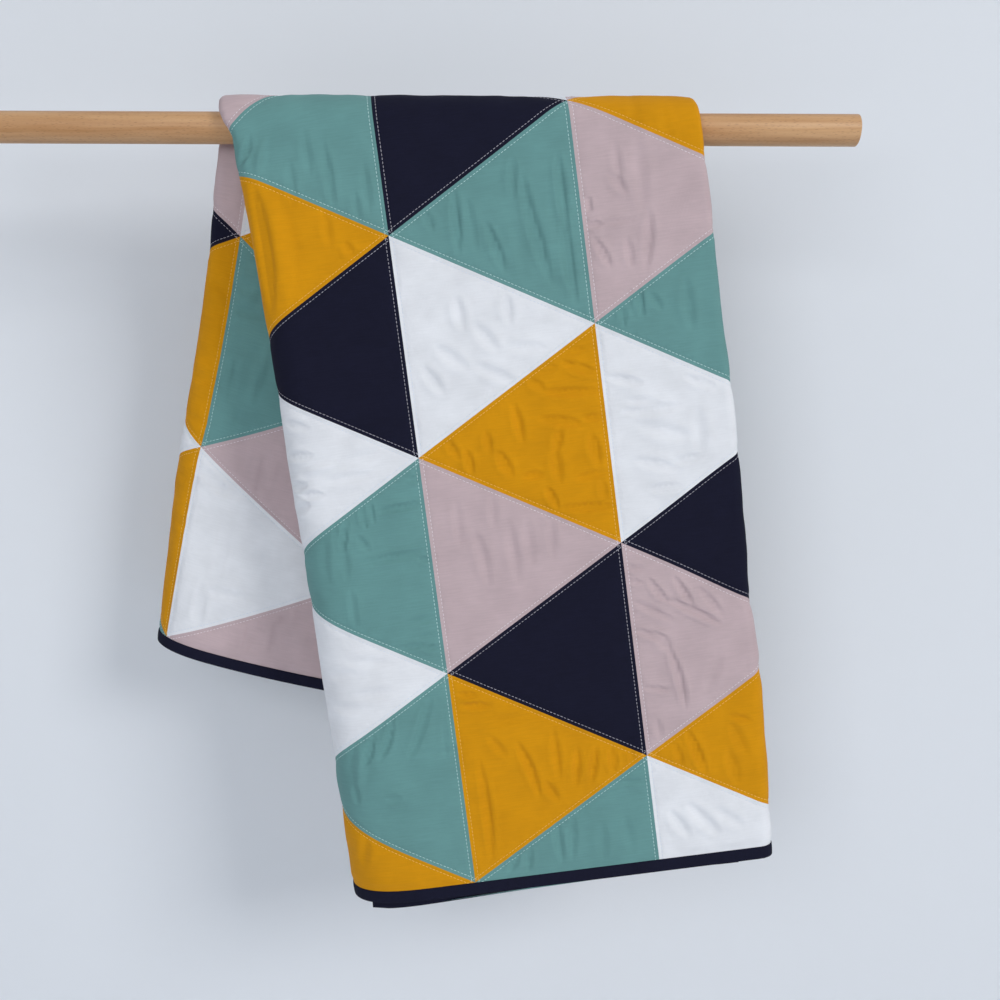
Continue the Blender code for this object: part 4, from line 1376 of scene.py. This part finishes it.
class QUILT_OT_stage(bpy.types.Operator):
    """Sets the pale backdrop, the soft lights and the camera"""

    bl_idname = "quilt.make_stage"
    bl_label = "Make stage"

    def execute(self, context):
        bm = bmesh.new()
        settings = context.scene.quilt_stage
        ends = (WALL_LEFT, WALL_RIGHT, WALL_RIGHT, WALL_LEFT)
        heights = (FLOOR_LEVEL, FLOOR_LEVEL, WALL_TOP, WALL_TOP)
        depths = (FLOOR_FRONT, FLOOR_FRONT, FLOOR_BACK, FLOOR_BACK)
        bm.faces.new([bm.verts.new((x, WALL_PLACE, z)) for x, z in zip(ends, heights)])
        bm.faces.new([bm.verts.new((x, y, FLOOR_LEVEL)) for x, y in zip(ends, depths)])
        backdrop = mesh_object("backdrop", bm, [painted_wall(settings.wall)])
        middle = (0.45, 0, -0.3)
        soft_light("window_light", (4.3, -3.6, 1.9), middle, 1.9, settings.window_power, WARM_LIGHT)
        soft_light("fill_light", (-0.5, -3.0, 0.5), (0.35, 0, -0.4), 2.0, settings.fill_power, COOL_LIGHT)
        soft_light("back_light", (0.6, 2.2, 1.2), middle, 1.4, BACK_LIGHT_POWER, COOL_LIGHT)
        world = bpy.data.worlds.new("soft_room")
        world.use_nodes = True
        tree = world.node_tree
        direction = add_node(tree, "ShaderNodeTexCoord")["Generated"]
        height = add_node(tree, "ShaderNodeSeparateXYZ", {"Vector": direction})["Z"]
        set_sockets(tree, tree.nodes["Background"],
                    {"Color": (*linear(ROOM), 1), "Strength": ranged(tree, height, -0.5, 0.6, 0.06, 0.38)})
        context.scene.world = world
        context.scene.view_settings.view_transform = "Standard"

        data = bpy.data.cameras.new("camera")
        data.lens = CAMERA_LENS
        data.sensor_width = CAMERA_SENSOR
        camera = bpy.data.objects.new("camera", data)
        yaw, pitch, roll = CAMERA_TURN
        turn = Matrix.Rotation(yaw, 4, "Z") @ Matrix.Rotation(pitch, 4, "X") @ Matrix.Rotation(roll, 4, "Y")
        look = Matrix.Rotation(pi / 2, 4, "X")
        camera.matrix_world = Matrix.Translation(CAMERA_PLACE) @ turn @ look
        context.scene.collection.objects.link(camera)
        context.scene.camera = camera
        return {"FINISHED"}


class QUILT_PT_panel(bpy.types.Panel):
    """Lists the steps that make the quilt"""

    bl_idname = "QUILT_PT_panel"
    bl_label = "Quilt on a rod"
    bl_space_type = "VIEW_3D"
    bl_region_type = "UI"
    bl_category = "Quilt"

    def draw(self, context):
        for operator in OPERATORS:
            self.layout.operator(operator.bl_idname)
        for group_name, group in SETTINGS.items():
            for name in group.__annotations__:
                self.layout.prop(getattr(context.scene, group_name), name)


OPERATORS = (QUILT_OT_rod, QUILT_OT_cloth, QUILT_OT_stitches, QUILT_OT_binding, QUILT_OT_stage)
SETTINGS = {"quilt_cloth": ClothSettings, "quilt_stitches": StitchSettings,
            "quilt_binding": BindingSettings, "quilt_rod": RodSettings, "quilt_stage": StageSettings}
CLASSES = (*SETTINGS.values(), *OPERATORS, QUILT_PT_panel)


def register():
    for item in CLASSES:
        bpy.utils.register_class(item)
    for name, group in SETTINGS.items():
        setattr(bpy.types.Scene, name, PointerProperty(type=group))


def unregister():
    for name in SETTINGS:
        delattr(bpy.types.Scene, name)
    for item in reversed(CLASSES):
        bpy.utils.unregister_class(item)


def main():
    register()
    bpy.ops.quilt.make_rod()
    bpy.ops.quilt.make_cloth()
    bpy.ops.quilt.make_stitches()
    bpy.ops.quilt.make_binding()
    bpy.ops.quilt.make_stage()


if __name__ == "__main__":
    main()
